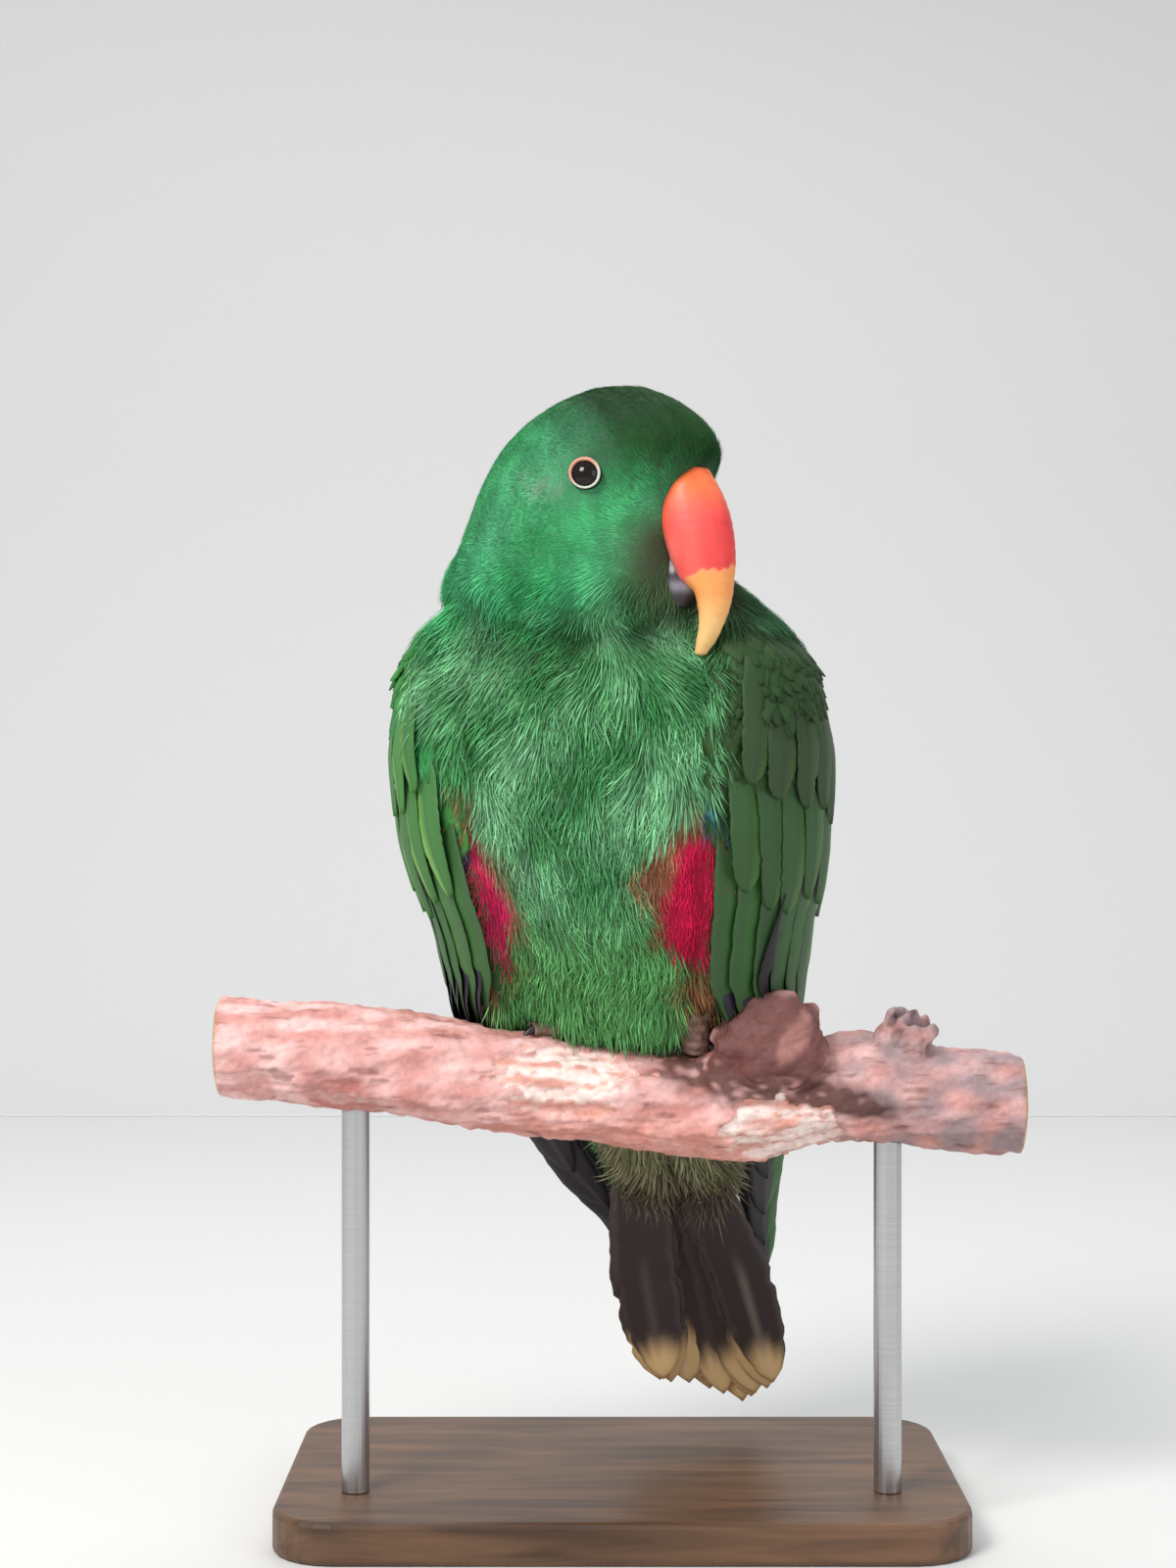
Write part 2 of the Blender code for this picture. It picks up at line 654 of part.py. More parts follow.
def on_tail(z, aside, before):
    """Point by the tail's middle line, set aside to the bird's left and to the front."""
    _, x, y = smooth_row(TAIL_LINE, z)
    yaw = math.radians(BODY_YAW)
    return Vector((x, y, z)) + aside * Vector((math.cos(yaw), math.sin(yaw), 0.0)) \
        + before * Vector((math.sin(yaw), -math.cos(yaw), 0.0))


def tail_vane(places, half, tilt=0.0):
    """Vane through places by the tail's middle line: height, aside and before."""
    path = [on_tail(*place) for place in places]
    normal = (on_tail(100.0, 0.0, -1.0) - on_tail(100.0, 0.0, 0.0)).normalized()
    normals = [normal] * len(path)
    return vane(path, normals, tapered(half, len(path)), tilt)


def make_tail():
    """Tail of twelve overlapping feathers with coverts over and under its root."""
    rng = random.Random(11)
    rings = []
    for z, half, front, back in TAIL_CORE:
        _, x, y = smooth_row(TAIL_LINE, z)
        row = (z, x, y, half, front, back, BODY_YAW)
        rings.append([on_body([row, (z + 1.0, *row[1:])], 360.0 * j / 24, z) for j in range(24)])
    tail = loft("tail", rings, "tail dark")
    vanes = []
    order = sorted(range(RECTRICES), key=lambda i: abs(i - (RECTRICES - 1) / 2) + 0.1 * (i % 2))
    for layer, i in enumerate(order):
        q = 2.0 * i / (RECTRICES - 1) - 1.0
        depth = RECTRIX_STEP * (layer - 5.5)
        tip = 27.5 - 6.0 * math.exp(-((q - 0.35) / 0.4) ** 2) + 2.0 * max(0.0, abs(q) - 0.7) / 0.3
        root = 110.0
        places = []
        for u in (0.0, 0.25, 0.6, 0.85, 1.0):
            z = root + (tip - root) * u
            aside = q * float(np.interp(u, [0.0, 0.55, 1.0], RECTRIX_SPREAD))
            places.append((z, aside, depth * float(np.interp(u, [0.0, 0.35, 1.0], [0.35, 1.0, 1.0]))))
        vanes.append(tail_vane(places, RECTRIX_HALF))
    for aside, tip in ((-14.0, 93.0), (12.5, 86.0), (-8.5, 86.0), (2.0, 95.0), (18.0, 93.0)):
        places = [(119.0 + (tip - 119.0) * u, aside * (0.55 + 0.45 * u),
                   float(np.interp(u, [0, 0.3, 1], [5.0, 9.6, 8.2])) + 0.08 * aside) for u in (0, 0.3, 0.6, 0.85, 1)]
        vanes.append(tail_vane(places, 8.0 + rng.uniform(-0.5, 0.5), 0.5))
    for k in range(5):
        aside = -14.0 + 7.0 * k
        tip = 88.0 + rng.uniform(-2.0, 2.0)
        places = [(119.0 + (tip - 119.0) * u, aside * (0.6 + 0.4 * u),
                   -float(np.interp(u, [0, 0.3, 1], [4.0, 9.0, 8.4])) - 0.5 * (k % 2)) for u in (0, 0.3, 0.6, 0.85, 1)]
        vanes.append(tail_vane(places, 6.5, 0.5))
    boolean(tail, "UNION", vanes)
    return tail


def make_leg(side_name, x):
    """Feathered thigh, and a foot with two toes before and two behind round the perch."""
    z, radius = perch_row(x)
    top = z + radius
    hip = Vector((x, 6.0, top + 24.0))
    ankle = Vector((x, 2.0, top + ANKLE_RISE))
    path = [hip, hip.lerp(ankle, 0.5), ankle]
    thigh = tube(f"thigh_{side_name}", path, [13.0, 10.5, 6.0], 16, "green")
    reach = (ankle - hip).normalized()
    room = tube("room", [hip - GAP * reach, hip.lerp(ankle, 0.5), ankle + GAP * reach],
                [13.0 + GAP, 10.5 + GAP, 6.0 + GAP], 16)
    shank_room = tube("room", [ankle + Vector((0, 0, 1)), Vector((x, 0.0, top))], [6.0 + GAP] * 2, 16)
    return thigh, [room, shank_room]


def make_foot(side_name, x):
    """Shank and four toes with claws, cut clear of the perch."""
    z, radius = perch_row(x)
    top = z + radius
    shank = tube(f"foot_{side_name}", [Vector((x, 2.0, top + ANKLE_RISE - 2.5)), Vector((x, 0.0, top + 1.0))],
                 [SHANK_RADIUS, SHANK_RADIUS + 0.8], 10, "foot")
    toes = []
    for splay, reach in TOES:
        path, radii = [], []
        for k in range(5):
            u = k / 4
            turn = math.radians(reach * u)
            round_perch = radius + TOE_RADIUS * 0.75
            path.append(Vector((x + splay * u, -round_perch * math.sin(turn), z + round_perch * math.cos(turn))))
            radii.append(TOE_RADIUS * (1.12 - 0.35 * u))
        end = path[-1] - path[-2]
        claw = path[-1] + end * 1.6 + Vector((0.0, 0.0, -2.4))
        toes.append(tube("toe", path, radii, 5, tip=claw))
    boolean(shank, "UNION", toes)
    boolean(shank, "DIFFERENCE", [make_perch("room", GAP)])
    return shank


def shade(made):
    """Smooth shading with sharp cut edges."""
    made.data.shade_smooth()
    made.data.set_sharp_from_angle(angle=math.radians(40))


def main():
    for made in list(bpy.data.objects):
        bpy.data.objects.remove(made)
    torso = body_length("torso", BODY[0][0], NECK_BASE, 12, BODY_SIDES, "green")
    neck = body_length("neck", NECK_BASE + GAP, NECK_TOP, 3, BODY_SIDES, "green")
    boolean(neck, "DIFFERENCE", bill_room())
    make_head()
    make_bill()
    for side_name, x in FOOT_PLACES.items():
        thigh, room = make_leg(side_name, x)
        boolean(torso, "DIFFERENCE", room)
        boolean(thigh, "DIFFERENCE", [make_perch("room", TOE_ROOM)])
        make_foot(side_name, x)
    boolean(torso, "DIFFERENCE", [make_perch("room", TOE_ROOM)])
    for side in (-1, 1):
        make_wing(side)
    make_tail()
    make_perch("perch", 0.0, "bark")
    make_stand()
    for made in bpy.data.objects:
        shade(made)


main()
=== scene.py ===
"""Looks of the still eclectus parrot: skin and coat, flight feathers, bill, eyes, feet,
perch and stand. Tables are in millimetres, meshes in metres, +Z up."""
import math
import random

import bmesh
import bpy
import numpy as np
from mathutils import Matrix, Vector


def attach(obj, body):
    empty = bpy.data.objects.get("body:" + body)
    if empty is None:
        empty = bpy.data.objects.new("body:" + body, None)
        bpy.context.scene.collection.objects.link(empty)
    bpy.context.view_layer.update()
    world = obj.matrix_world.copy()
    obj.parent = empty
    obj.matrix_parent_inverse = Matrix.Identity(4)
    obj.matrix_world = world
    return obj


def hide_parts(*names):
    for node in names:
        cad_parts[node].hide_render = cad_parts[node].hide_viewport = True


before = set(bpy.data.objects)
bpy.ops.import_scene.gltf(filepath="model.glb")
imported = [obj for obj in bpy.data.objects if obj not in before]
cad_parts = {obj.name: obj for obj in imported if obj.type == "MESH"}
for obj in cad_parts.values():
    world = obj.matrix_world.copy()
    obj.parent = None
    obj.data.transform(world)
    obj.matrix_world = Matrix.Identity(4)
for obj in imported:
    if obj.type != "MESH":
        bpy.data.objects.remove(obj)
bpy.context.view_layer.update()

MM = 0.001
BODY_YAW = -11.0
HEAD_YAW = 57.0
HEAD_CENTRE = (0.0, -21.0)

# Height, centre x, centre y, half width, depth in front, depth behind, yaw.
BODY = [
    (126.0, 12.0, 30.0, 22.0, 13.5, 12.0, BODY_YAW),
    (132.0, 11.0, 29.0, 27.0, 13.5, 14.5, BODY_YAW),
    (136.0, 10.0, 27.5, 31.0, 16.0, 17.0, BODY_YAW),
    (140.0, 8.5, 26.0, 35.0, 20.5, 20.0, BODY_YAW),
    (144.0, 7.5, 24.0, 38.5, 26.0, 23.5, BODY_YAW),
    (148.0, 6.5, 22.0, 41.5, 31.0, 26.5, BODY_YAW),
    (158.0, 5.2, 17.0, 46.0, 37.0, 32.5, BODY_YAW),
    (172.0, 4.0, 11.0, 51.0, 43.0, 38.5, BODY_YAW),
    (186.0, 2.8, 7.5, 54.5, 46.5, 42.0, BODY_YAW),
    (200.0, 1.6, 4.5, 56.5, 48.0, 43.5, BODY_YAW),
    (214.0, 0.9, 2.0, 57.0, 47.5, 44.0, BODY_YAW),
    (228.0, 0.3, -1.0, 55.5, 45.5, 44.0, BODY_YAW),
    (242.0, 0.0, -4.0, 51.0, 40.5, 43.5, BODY_YAW),
    (250.0, 0.0, -7.0, 46.5, 36.0, 43.0, 0.0),
    (258.0, 0.0, -10.5, 42.0, 33.0, 44.5, 25.0),
    (266.0, 0.0, -14.5, 39.0, 30.0, 46.0, 48.0),
    (274.0, 0.0, -18.0, 36.5, 26.5, 46.5, HEAD_YAW),
    (282.0, 0.0, -20.0, 34.5, 25.5, 44.5, HEAD_YAW),
    (290.0, 0.0, -21.0, 32.8, 26.0, 41.5, HEAD_YAW),
    (297.0, 0.0, -21.0, 31.0, 29.5, 38.5, HEAD_YAW),
    (304.0, 0.0, -21.0, 28.5, 33.5, 34.0, HEAD_YAW),
    (310.0, 0.0, -21.0, 25.5, 32.0, 28.5, HEAD_YAW),
    (315.0, 0.5, -21.0, 21.5, 27.0, 22.5, HEAD_YAW),
    (320.0, 1.5, -21.0, 15.0, 18.5, 14.5, HEAD_YAW),
    (323.0, 2.5, -21.5, 8.5, 10.5, 7.5, HEAD_YAW),
]
CROWN = (3.0, -22.0, 324.6)
WING_LOW = [
    (62.0, 29.5, 61.0, 19.5, 5.0, 6.0, BODY_YAW),
    (68.0, 28.0, 59.0, 21.0, 6.0, 7.0, BODY_YAW),
    (80.0, 25.0, 55.0, 24.5, 7.0, 8.0, BODY_YAW),
    (94.0, 19.0, 49.0, 31.5, 9.0, 11.0, BODY_YAW),
    (111.0, 14.0, 42.0, 37.0, 14.0, 15.0, BODY_YAW),
    (126.0, 10.0, 36.0, 42.0, 18.0, 20.0, BODY_YAW),
    (138.0, 7.5, 30.0, 45.0, 22.0, 24.0, BODY_YAW),
    (148.0, 6.0, 22.0, 48.5, 35.0, 31.0, BODY_YAW),
    (158.0, 5.0, 16.5, 49.8, 40.8, 35.0, BODY_YAW),
]
WING = WING_LOW + [row for row in BODY if row[0] > WING_LOW[-1][0]]
WING_FRONT = ([62, 80, 110, 132, 140, 148, 160, 215, 240, 262], [88, 84, 80, 76, 68, 50, 41, 42, 48, 62])
WING_BACK = ([62, 80, 110, 132, 150, 172, 240, 262], [100, 118, 136, 150, 160, 166, 164, 140])
WING_RISE = ([62, 80, 110, 140, 150, 158, 172, 214, 228, 242, 254, 266],
             [1.6, 2.2, 3.5, 4.0, 3.8, 4.4, 6.0, 7.0, 8.5, 11, 13, 9])

# Bill slices: height, back, front and half width, forward from the head's centre.
BILL_UPPER = [
    (249.2, 28.1, 31.4, 1.6),
    (252.5, 28.8, 34.0, 2.8),
    (256.7, 29.9, 36.2, 3.9),
    (262.0, 29.7, 38.3, 5.0),
    (266.5, 28.3, 39.0, 6.5),
    (269.0, 25.0, 39.3, 7.3),
    (273.0, 22.6, 39.6, 8.5),
    (278.0, 20.7, 39.4, 9.5),
    (285.0, 18.0, 38.3, 10.0),
    (291.0, 18.0, 36.3, 9.4),
    (296.0, 22.0, 33.5, 7.6),
    (299.5, 26.0, 31.5, 4.0),
]
BILL_LOWER = [
    (262.0, 16.0, 26.0, 4.2),
    (265.5, 16.0, 28.6, 5.6),
    (270.5, 16.0, 29.2, 6.0),
    (276.0, 16.0, 26.5, 4.4),
    (281.0, 16.0, 23.0, 3.0),
]
EYE_HEIGHT = 296.5
EYE_FORWARD = 11.0
EYE_RADIUS = 4.8
EYE_SHOWS = 1.3

PERCH = [
    (-111.0, 139.5, 13.8),
    (-84.0, 136.6, 14.4),
    (-56.0, 133.6, 14.8),
    (-33.6, 130.1, 14.7),
    (-5.6, 126.5, 13.9),
    (20.2, 123.1, 14.8),
    (44.5, 121.6, 15.4),
    (68.3, 127.0, 15.1),
    (95.2, 124.5, 14.4),
    (118.0, 123.1, 13.9),
]
KNOBS = (((46.0, -11.0, 140.5), (15.5, 11.0, 15.0)), ((36.0, -8.0, 130.5), (12.5, 9.0, 11.0)))
STUB_FOOT = (80.0, -2.0, 132.0)
STUB_TIP = (87.0, -6.0, 146.5)

FOOT_PLACES = (-17.0, 25.0)
TOES = ((-4.5, 31.0), (4.0, 33.0), (-8.0, -35.0), (5.0, -33.0))

TAIL_LINE = [
    (20.0, 36.0, 67.5),
    (44.0, 30.5, 59.5),
    (62.0, 26.5, 53.0),
    (80.0, 22.5, 46.5),
    (98.0, 18.5, 40.0),
    (112.0, 15.0, 34.5),
    (125.7, 12.0, 30.0),
]
TAIL_CORE = [(90.0, 9.0, 2.6, 2.6), (98.0, 15.5, 5.0, 5.0), (108.0, 19.5, 7.5, 7.5),
             (117.0, 21.5, 10.5, 10.0), (127.0, 22.0, 13.0, 11.5)]


def linear(red, green, blue):
    """Linear colour from the 0 to 255 values that a screen shows."""
    return np.array([c / 12.92 if c <= 0.04045 else ((c + 0.055) / 1.055) ** 2.4
                     for c in (red / 255, green / 255, blue / 255)])


EMERALD = linear(70, 188, 114)
EMERALD_LIGHT = linear(102, 218, 154)
CROWN_DARK = linear(22, 58, 6)
CHIN = linear(88, 98, 66)
BREAST = linear(70, 150, 84)
BREAST_LIGHT = linear(146, 216, 160)
BELLY = linear(112, 188, 112)
# Dark green of the shade in the crease under the cheeks: painted shade.
CREASE_PAINTED_SHADE = linear(30, 66, 28)
# Pale bluish green of a sheen on the head: painted sheen.
FACE_PAINTED_SHEEN = linear(150, 190, 158)
OLIVE = linear(160, 160, 122)
UNDERTAIL = linear(130, 114, 98)
FLANK_RED = linear(255, 56, 118)
# Deeper red for the bird's left flank, away from the light: painted shade.
FLANK_RED_PAINTED_SHADE = linear(244, 34, 92)
FLANK_EDGE = linear(186, 98, 74)
NAVY = linear(34, 38, 112)
TEAL = linear(20, 112, 150)
WING_GREEN = linear(66, 128, 58)
# Darker greens for the bird's left side, away from the light: painted shade.
WING_GREEN_PAINTED_SHADE = linear(54, 106, 44)
GREEN_DEEP_PAINTED_SHADE = linear(42, 58, 30)
WING_BLUISH = linear(46, 130, 72)
WING_LIME = linear(158, 208, 104)
QUILL_DARK = linear(50, 46, 50)
TAIL_BROWN = linear(62, 52, 53)
TAIL_TAN = linear(232, 196, 142)


def rows_at(table, key):
    """Rows of a table at many keys in its first column, on a smooth curve."""
    rows = np.array(table, float)
    keys = rows[:, 0]
    key = np.clip(np.asarray(key, float), keys[0], keys[-1])
    i = np.clip(np.searchsorted(keys, key) - 1, 0, len(keys) - 2)
    slopes = np.gradient(rows, keys, axis=0)
    span = (keys[i + 1] - keys[i])[..., None]
    u = (key - keys[i])[..., None] / span
    return ((2 * u**3 - 3 * u**2 + 1) * rows[i] + (u**3 - 2 * u**2 + u) * span * slopes[i]
            + (3 * u**2 - 2 * u**3) * rows[i + 1] + (u**3 - u**2) * span * slopes[i + 1])


def around(table, azimuth, z, out=0.0):
    """Points on a body's surface, in directions in degrees from -Y towards +X."""
    azimuth, z, out = np.broadcast_arrays(azimuth, z, out)
    row = rows_at(table, z)
    cx, cy, half, front, back, yaw = (row[..., k] for k in range(1, 7))
    beta = np.radians(azimuth - yaw)
    depth = np.where(np.cos(beta) > 0, front, back)
    radius = 1.0 / np.hypot(np.sin(beta) / half, np.cos(beta) / depth) + out
    alpha = np.radians(azimuth)
    return np.stack([cx + radius * np.sin(alpha), cy - radius * np.cos(alpha), z], -1)


def on_wing(side, share, z, rise):
    """Points over a folded wing, share 0 at its front edge and 1 at its back edge."""
    front = np.interp(z, *WING_FRONT)
    back = np.interp(z, *WING_BACK)
    return around(WING, BODY_YAW + side * (front + (back - front) * share), z, rise)


def wing_rise(z):
    return np.interp(z, *WING_RISE)


def on_head(forward, left, z):
    """Point in the head's own frame."""
    yaw = math.radians(HEAD_YAW)
    return np.array([HEAD_CENTRE[0] + forward * math.sin(yaw) + left * math.cos(yaw),
                     HEAD_CENTRE[1] - forward * math.cos(yaw) + left * math.sin(yaw), z])


def bump(value, middle, width):
    """Smooth hill of height 1 about a middle."""
    return np.exp(-((value - middle) / width) ** 2)


def step(value, low, high):
    """Smooth step from 0 at low to 1 at high."""
    u = np.clip((value - low) / (high - low), 0.0, 1.0)
    return u * u * (3.0 - 2.0 * u)


def waves(points, size, seed):
    """Smooth random field of about unit swing over points in millimetres."""
    rng = np.random.default_rng(seed)
    total = np.zeros(points.shape[:-1])
    for _ in range(7):
        way = rng.normal(size=3)
        way *= 2 * math.pi / (size * np.linalg.norm(way) * rng.uniform(0.7, 1.6))
        total += np.sin(points @ way + rng.uniform(0, 2 * math.pi))
    return total / 2.2


def mix(first, second, share):
    """Blend of two colours, or of a field of them, by a field of shares."""
    return first + (second - first) * share[..., None]


def mesh_of(name, points, faces, smooth=True):
    """Mesh from points in millimetres and a list or array of faces."""
    mesh = bpy.data.meshes.new(name)
    mesh.from_pydata((np.asarray(points, float).reshape(-1, 3) * MM).tolist(), [],
                     [tuple(face) for face in np.asarray(faces).tolist()] if isinstance(faces, np.ndarray) else faces)
    if smooth:
        mesh.shade_smooth()
    return mesh


def object_of(name, mesh, finish=None):
    made = bpy.data.objects.new(name, mesh)
    bpy.context.scene.collection.objects.link(made)
    if finish:
        mesh.materials.clear()
        mesh.materials.append(finish)
    return made


def grid_faces(rows, columns, ring=False):
    """Faces of a grid of points, in rows, whose last column may meet its first."""
    span = columns if ring else columns - 1
    k, i = np.meshgrid(np.arange(rows - 1), np.arange(span), indexing="ij")
    n = (i + 1) % columns
    return np.stack([k * columns + i, k * columns + n, (k + 1) * columns + n, (k + 1) * columns + i], -1).reshape(-1, 4)


def tube_mesh(name, path, radii, sides, tip=True):
    """Closed round bar along a path, its last ring drawn to a point if it has a tip."""
    path = np.asarray(path, float)
    ahead = np.gradient(path, axis=0)
    ahead /= np.linalg.norm(ahead, axis=1)[:, None]
    across = np.cross(ahead, (0.13, 0.97, 0.21))
    across /= np.linalg.norm(across, axis=1)[:, None]
    up = np.cross(ahead, across)
    turn = np.linspace(0, 2 * math.pi, sides, endpoint=False)
    ring = np.cos(turn)[None, :, None] * across[:, None] + np.sin(turn)[None, :, None] * up[:, None]
    radii = np.asarray(radii, float)
    radii = radii[:, None, None] if radii.ndim == 1 else radii[..., None]
    points = (path[:, None] + radii * ring).reshape(-1, 3)
    points = np.vstack([points, path[:1], path[-1:]])
    faces = [tuple(f) for f in grid_faces(len(path), sides, True).tolist()]
    last = (len(path) - 1) * sides
    for j in range(sides):
        n = (j + 1) % sides
        faces.append((n, j, len(points) - 2))
        faces.append((last + j, last + n, len(points) - 1))
    return outward(mesh_of(name, points, faces))


def outward(mesh):
    """Turn a mesh's faces outwards after its doubles are merged."""
    work = bmesh.new()
    work.from_mesh(mesh)
    bmesh.ops.remove_doubles(work, verts=work.verts, dist=1e-7)
    bmesh.ops.recalc_face_normals(work, faces=work.faces)
    work.to_mesh(mesh)
    work.free()
    return mesh


def put(mesh, name, values):
    """Store a field of numbers or colours on a mesh's points."""
    values = np.asarray(values, float)
    if values.ndim == 1:
        mesh.attributes.new(name, "FLOAT", "POINT").data.foreach_set("value", values.astype(np.float32))
    elif name == "tint":
        full = np.ones((len(values), 4), np.float32)
        full[:, :3] = values
        mesh.attributes.new(name, "FLOAT_COLOR", "POINT").data.foreach_set("color", full.ravel())
    else:
        mesh.attributes.new(name, "FLOAT_VECTOR", "POINT").data.foreach_set("vector", values.astype(np.float32).ravel())


def points_of(mesh):
    """A mesh's points in millimetres and its normals."""
    co = np.empty(len(mesh.vertices) * 3, np.float32)
    mesh.vertices.foreach_get("co", co)
    normal = np.empty(len(mesh.vertices) * 3, np.float32)
    mesh.vertices.foreach_get("normal", normal)
    return co.reshape(-1, 3).astype(float) / MM, normal.reshape(-1, 3).astype(float)


def merged(name, meshes):
    """One mesh of several."""
    work = bmesh.new()
    for mesh in meshes:
        work.from_mesh(mesh)
    made = bpy.data.meshes.new(name)
    work.to_mesh(made)
    work.free()
    return made


def remeshed(name, meshes, voxel, rounds):
    """One closed surface over several closed forms, smoothed."""
    made = object_of(name, merged(name, meshes))
    remesh = made.modifiers.new("remesh", "REMESH")
    remesh.mode = "VOXEL"
    remesh.voxel_size = voxel * MM
    smooth = made.modifiers.new("smooth", "SMOOTH")
    smooth.factor = 0.5
    smooth.iterations = rounds
    mesh = bpy.data.meshes.new_from_object(made.evaluated_get(bpy.context.evaluated_depsgraph_get()))
    bpy.data.objects.remove(made)
    mesh.shade_smooth()
    return mesh


# Finishes


def new_finish(name, roughness, **fixed):
    """Principled material, with its fixed values set on the shader's own sockets."""
    made = bpy.data.materials.new(name)
    made.use_nodes = True
    shader = made.node_tree.nodes["Principled BSDF"]
    shader.inputs["Roughness"].default_value = roughness
    for key, value in fixed.items():
        shader.inputs[key.replace("_", " ")].default_value = value
    return made, made.node_tree.nodes, made.node_tree.links, shader


def feather_finish(name, roughness, gloss, root_shade, tip_shade):
    """Feathers tinted by their own attribute, darker at the root and streaked by shade."""
    made, nodes, links, shader = new_finish(name, roughness, Specular_IOR_Level=gloss)
    tint = nodes.new("ShaderNodeAttribute")
    tint.attribute_name = "tint"
    along = nodes.new("ShaderNodeAttribute")
    along.attribute_name = "along"
    shade = nodes.new("ShaderNodeAttribute")
    shade.attribute_name = "shade"
    ramp = nodes.new("ShaderNodeMapRange")
    ramp.inputs["To Min"].default_value = root_shade
    ramp.inputs["To Max"].default_value = tip_shade
    links.new(along.outputs["Fac"], ramp.inputs["Value"])
    both = nodes.new("ShaderNodeMath")
    both.operation = "MULTIPLY"
    links.new(ramp.outputs["Result"], both.inputs[0])
    links.new(shade.outputs["Fac"], both.inputs[1])
    scale = nodes.new("ShaderNodeVectorMath")
    scale.operation = "SCALE"
    links.new(tint.outputs["Color"], scale.inputs[0])
    links.new(both.outputs[0], scale.inputs["Scale"])
    links.new(scale.outputs[0], shader.inputs["Base Color"])
    return made


def skin_finish():
    """Underlying skin in the coat's own markings, dulled as it is in shade."""
    made, nodes, links, shader = new_finish("plumage base", 0.8)
    tint = nodes.new("ShaderNodeAttribute")
    tint.attribute_name = "tint"
    scale = nodes.new("ShaderNodeVectorMath")
    scale.operation = "SCALE"
    scale.inputs["Scale"].default_value = 0.45
    links.new(tint.outputs["Color"], scale.inputs[0])
    links.new(scale.outputs[0], shader.inputs["Base Color"])
    return made


def quill_finish():
    """Flight feathers: tint from the vane, with fine barbs across it that vary its colour and raise its surface."""
    made, nodes, links, shader = new_finish("flight feather", 0.5, Specular_IOR_Level=0.35)
    tint = nodes.new("ShaderNodeAttribute")
    tint.attribute_name = "tint"
    barbs = nodes.new("ShaderNodeAttribute")
    barbs.attribute_name = "barb"
    wave = nodes.new("ShaderNodeTexWave")
    wave.inputs["Scale"].default_value = 0.42
    wave.inputs["Distortion"].default_value = 1.6
    wave.inputs["Detail"].default_value = 2.0
    links.new(barbs.outputs["Vector"], wave.inputs["Vector"])
    ramp = nodes.new("ShaderNodeMapRange")
    ramp.inputs["To Min"].default_value = 0.84
    ramp.inputs["To Max"].default_value = 1.12
    links.new(wave.outputs["Fac"], ramp.inputs["Value"])
    scale = nodes.new("ShaderNodeVectorMath")
    scale.operation = "SCALE"
    links.new(tint.outputs["Color"], scale.inputs[0])
    links.new(ramp.outputs["Result"], scale.inputs["Scale"])
    links.new(scale.outputs[0], shader.inputs["Base Color"])
    relief = nodes.new("ShaderNodeBump")
    relief.inputs["Strength"].default_value = 0.35
    relief.inputs["Distance"].default_value = 0.0002
    links.new(wave.outputs["Fac"], relief.inputs["Height"])
    links.new(relief.outputs["Normal"], shader.inputs["Normal"])
    return made


def tinted_finish(name, roughness, grain, strength, depth, **fixed):
    """Surface tinted by its own attribute, mottled and roughened by noise at its own scale."""
    made, nodes, links, shader = new_finish(name, roughness, **fixed)
    tint = nodes.new("ShaderNodeAttribute")
    tint.attribute_name = "tint"
    place = nodes.new("ShaderNodeTexCoord")
    noise = nodes.new("ShaderNodeTexNoise")
    noise.inputs["Scale"].default_value = grain
    noise.inputs["Detail"].default_value = 6.0
    noise.inputs["Roughness"].default_value = 0.62
    links.new(place.outputs["Object"], noise.inputs["Vector"])
    ramp = nodes.new("ShaderNodeMapRange")
    ramp.inputs["From Min"].default_value = 0.3
    ramp.inputs["From Max"].default_value = 0.7
    ramp.inputs["To Min"].default_value = 1.0 - strength
    ramp.inputs["To Max"].default_value = 1.0 + strength
    links.new(noise.outputs["Fac"], ramp.inputs["Value"])
    scale = nodes.new("ShaderNodeVectorMath")
    scale.operation = "SCALE"
    links.new(tint.outputs["Color"], scale.inputs[0])
    links.new(ramp.outputs["Result"], scale.inputs["Scale"])
    links.new(scale.outputs[0], shader.inputs["Base Color"])
    relief = nodes.new("ShaderNodeBump")
    relief.inputs["Strength"].default_value = 0.6
    relief.inputs["Distance"].default_value = depth
    links.new(noise.outputs["Fac"], relief.inputs["Height"])
    links.new(relief.outputs["Normal"], shader.inputs["Normal"])
    return made


# Skin


def slab(name, outer, inner):
    """Closed form between two grids of points."""
    rows, columns = outer.shape[:2]
    shift = rows * columns
    face = grid_faces(rows, columns)
    faces = face.tolist() + (face[:, ::-1] + shift).tolist()
    rim = list(range(columns)) + [k * columns + columns - 1 for k in range(1, rows)]
    rim += [(rows - 1) * columns + i for i in range(columns - 2, -1, -1)]
    rim += [k * columns for k in range(rows - 2, 0, -1)]
    faces += [(a, a + shift, b + shift, b) for a, b in zip(rim, rim[1:] + rim[:1])]
    return outward(mesh_of(name, np.concatenate([outer.reshape(-1, 3), inner.reshape(-1, 3)]), faces))


def coat_depth(z):
    """How far the skin lies under the tips of the coat."""
    return np.interp(z, [126, 235, 258, 285, 320], [2.4, 2.6, 2.2, 1.3, 1.2])


def crease_height(azimuth):
    """Height of the crease where the cheeks' plumage hangs over the breast."""
    return 254.0 + 0.0034 * (azimuth + 12.0) ** 2


def body_relief(azimuth, z):
    """Folds and swells of the plumage over the plain body."""
    fold = -2.0 * bump(z, crease_height(azimuth), 4.0) * bump(azimuth, -16.0, 48.0)
    cheek = 1.3 * bump(z, 266.0, 6.0) * bump(azimuth, -8.0, 45.0)
    chest = 1.0 * bump(z, 222.0, 16.0) * bump(azimuth, -8.0, 30.0)
    parting = -1.2 * bump(azimuth, -6.0, 5.0) * bump(z, 236.0, 14.0)
    nape = 4.6 * bump(z, 267.0, 9.0) * bump(azimuth, -98.0, 34.0)
    return fold + cheek + chest + parting + nape


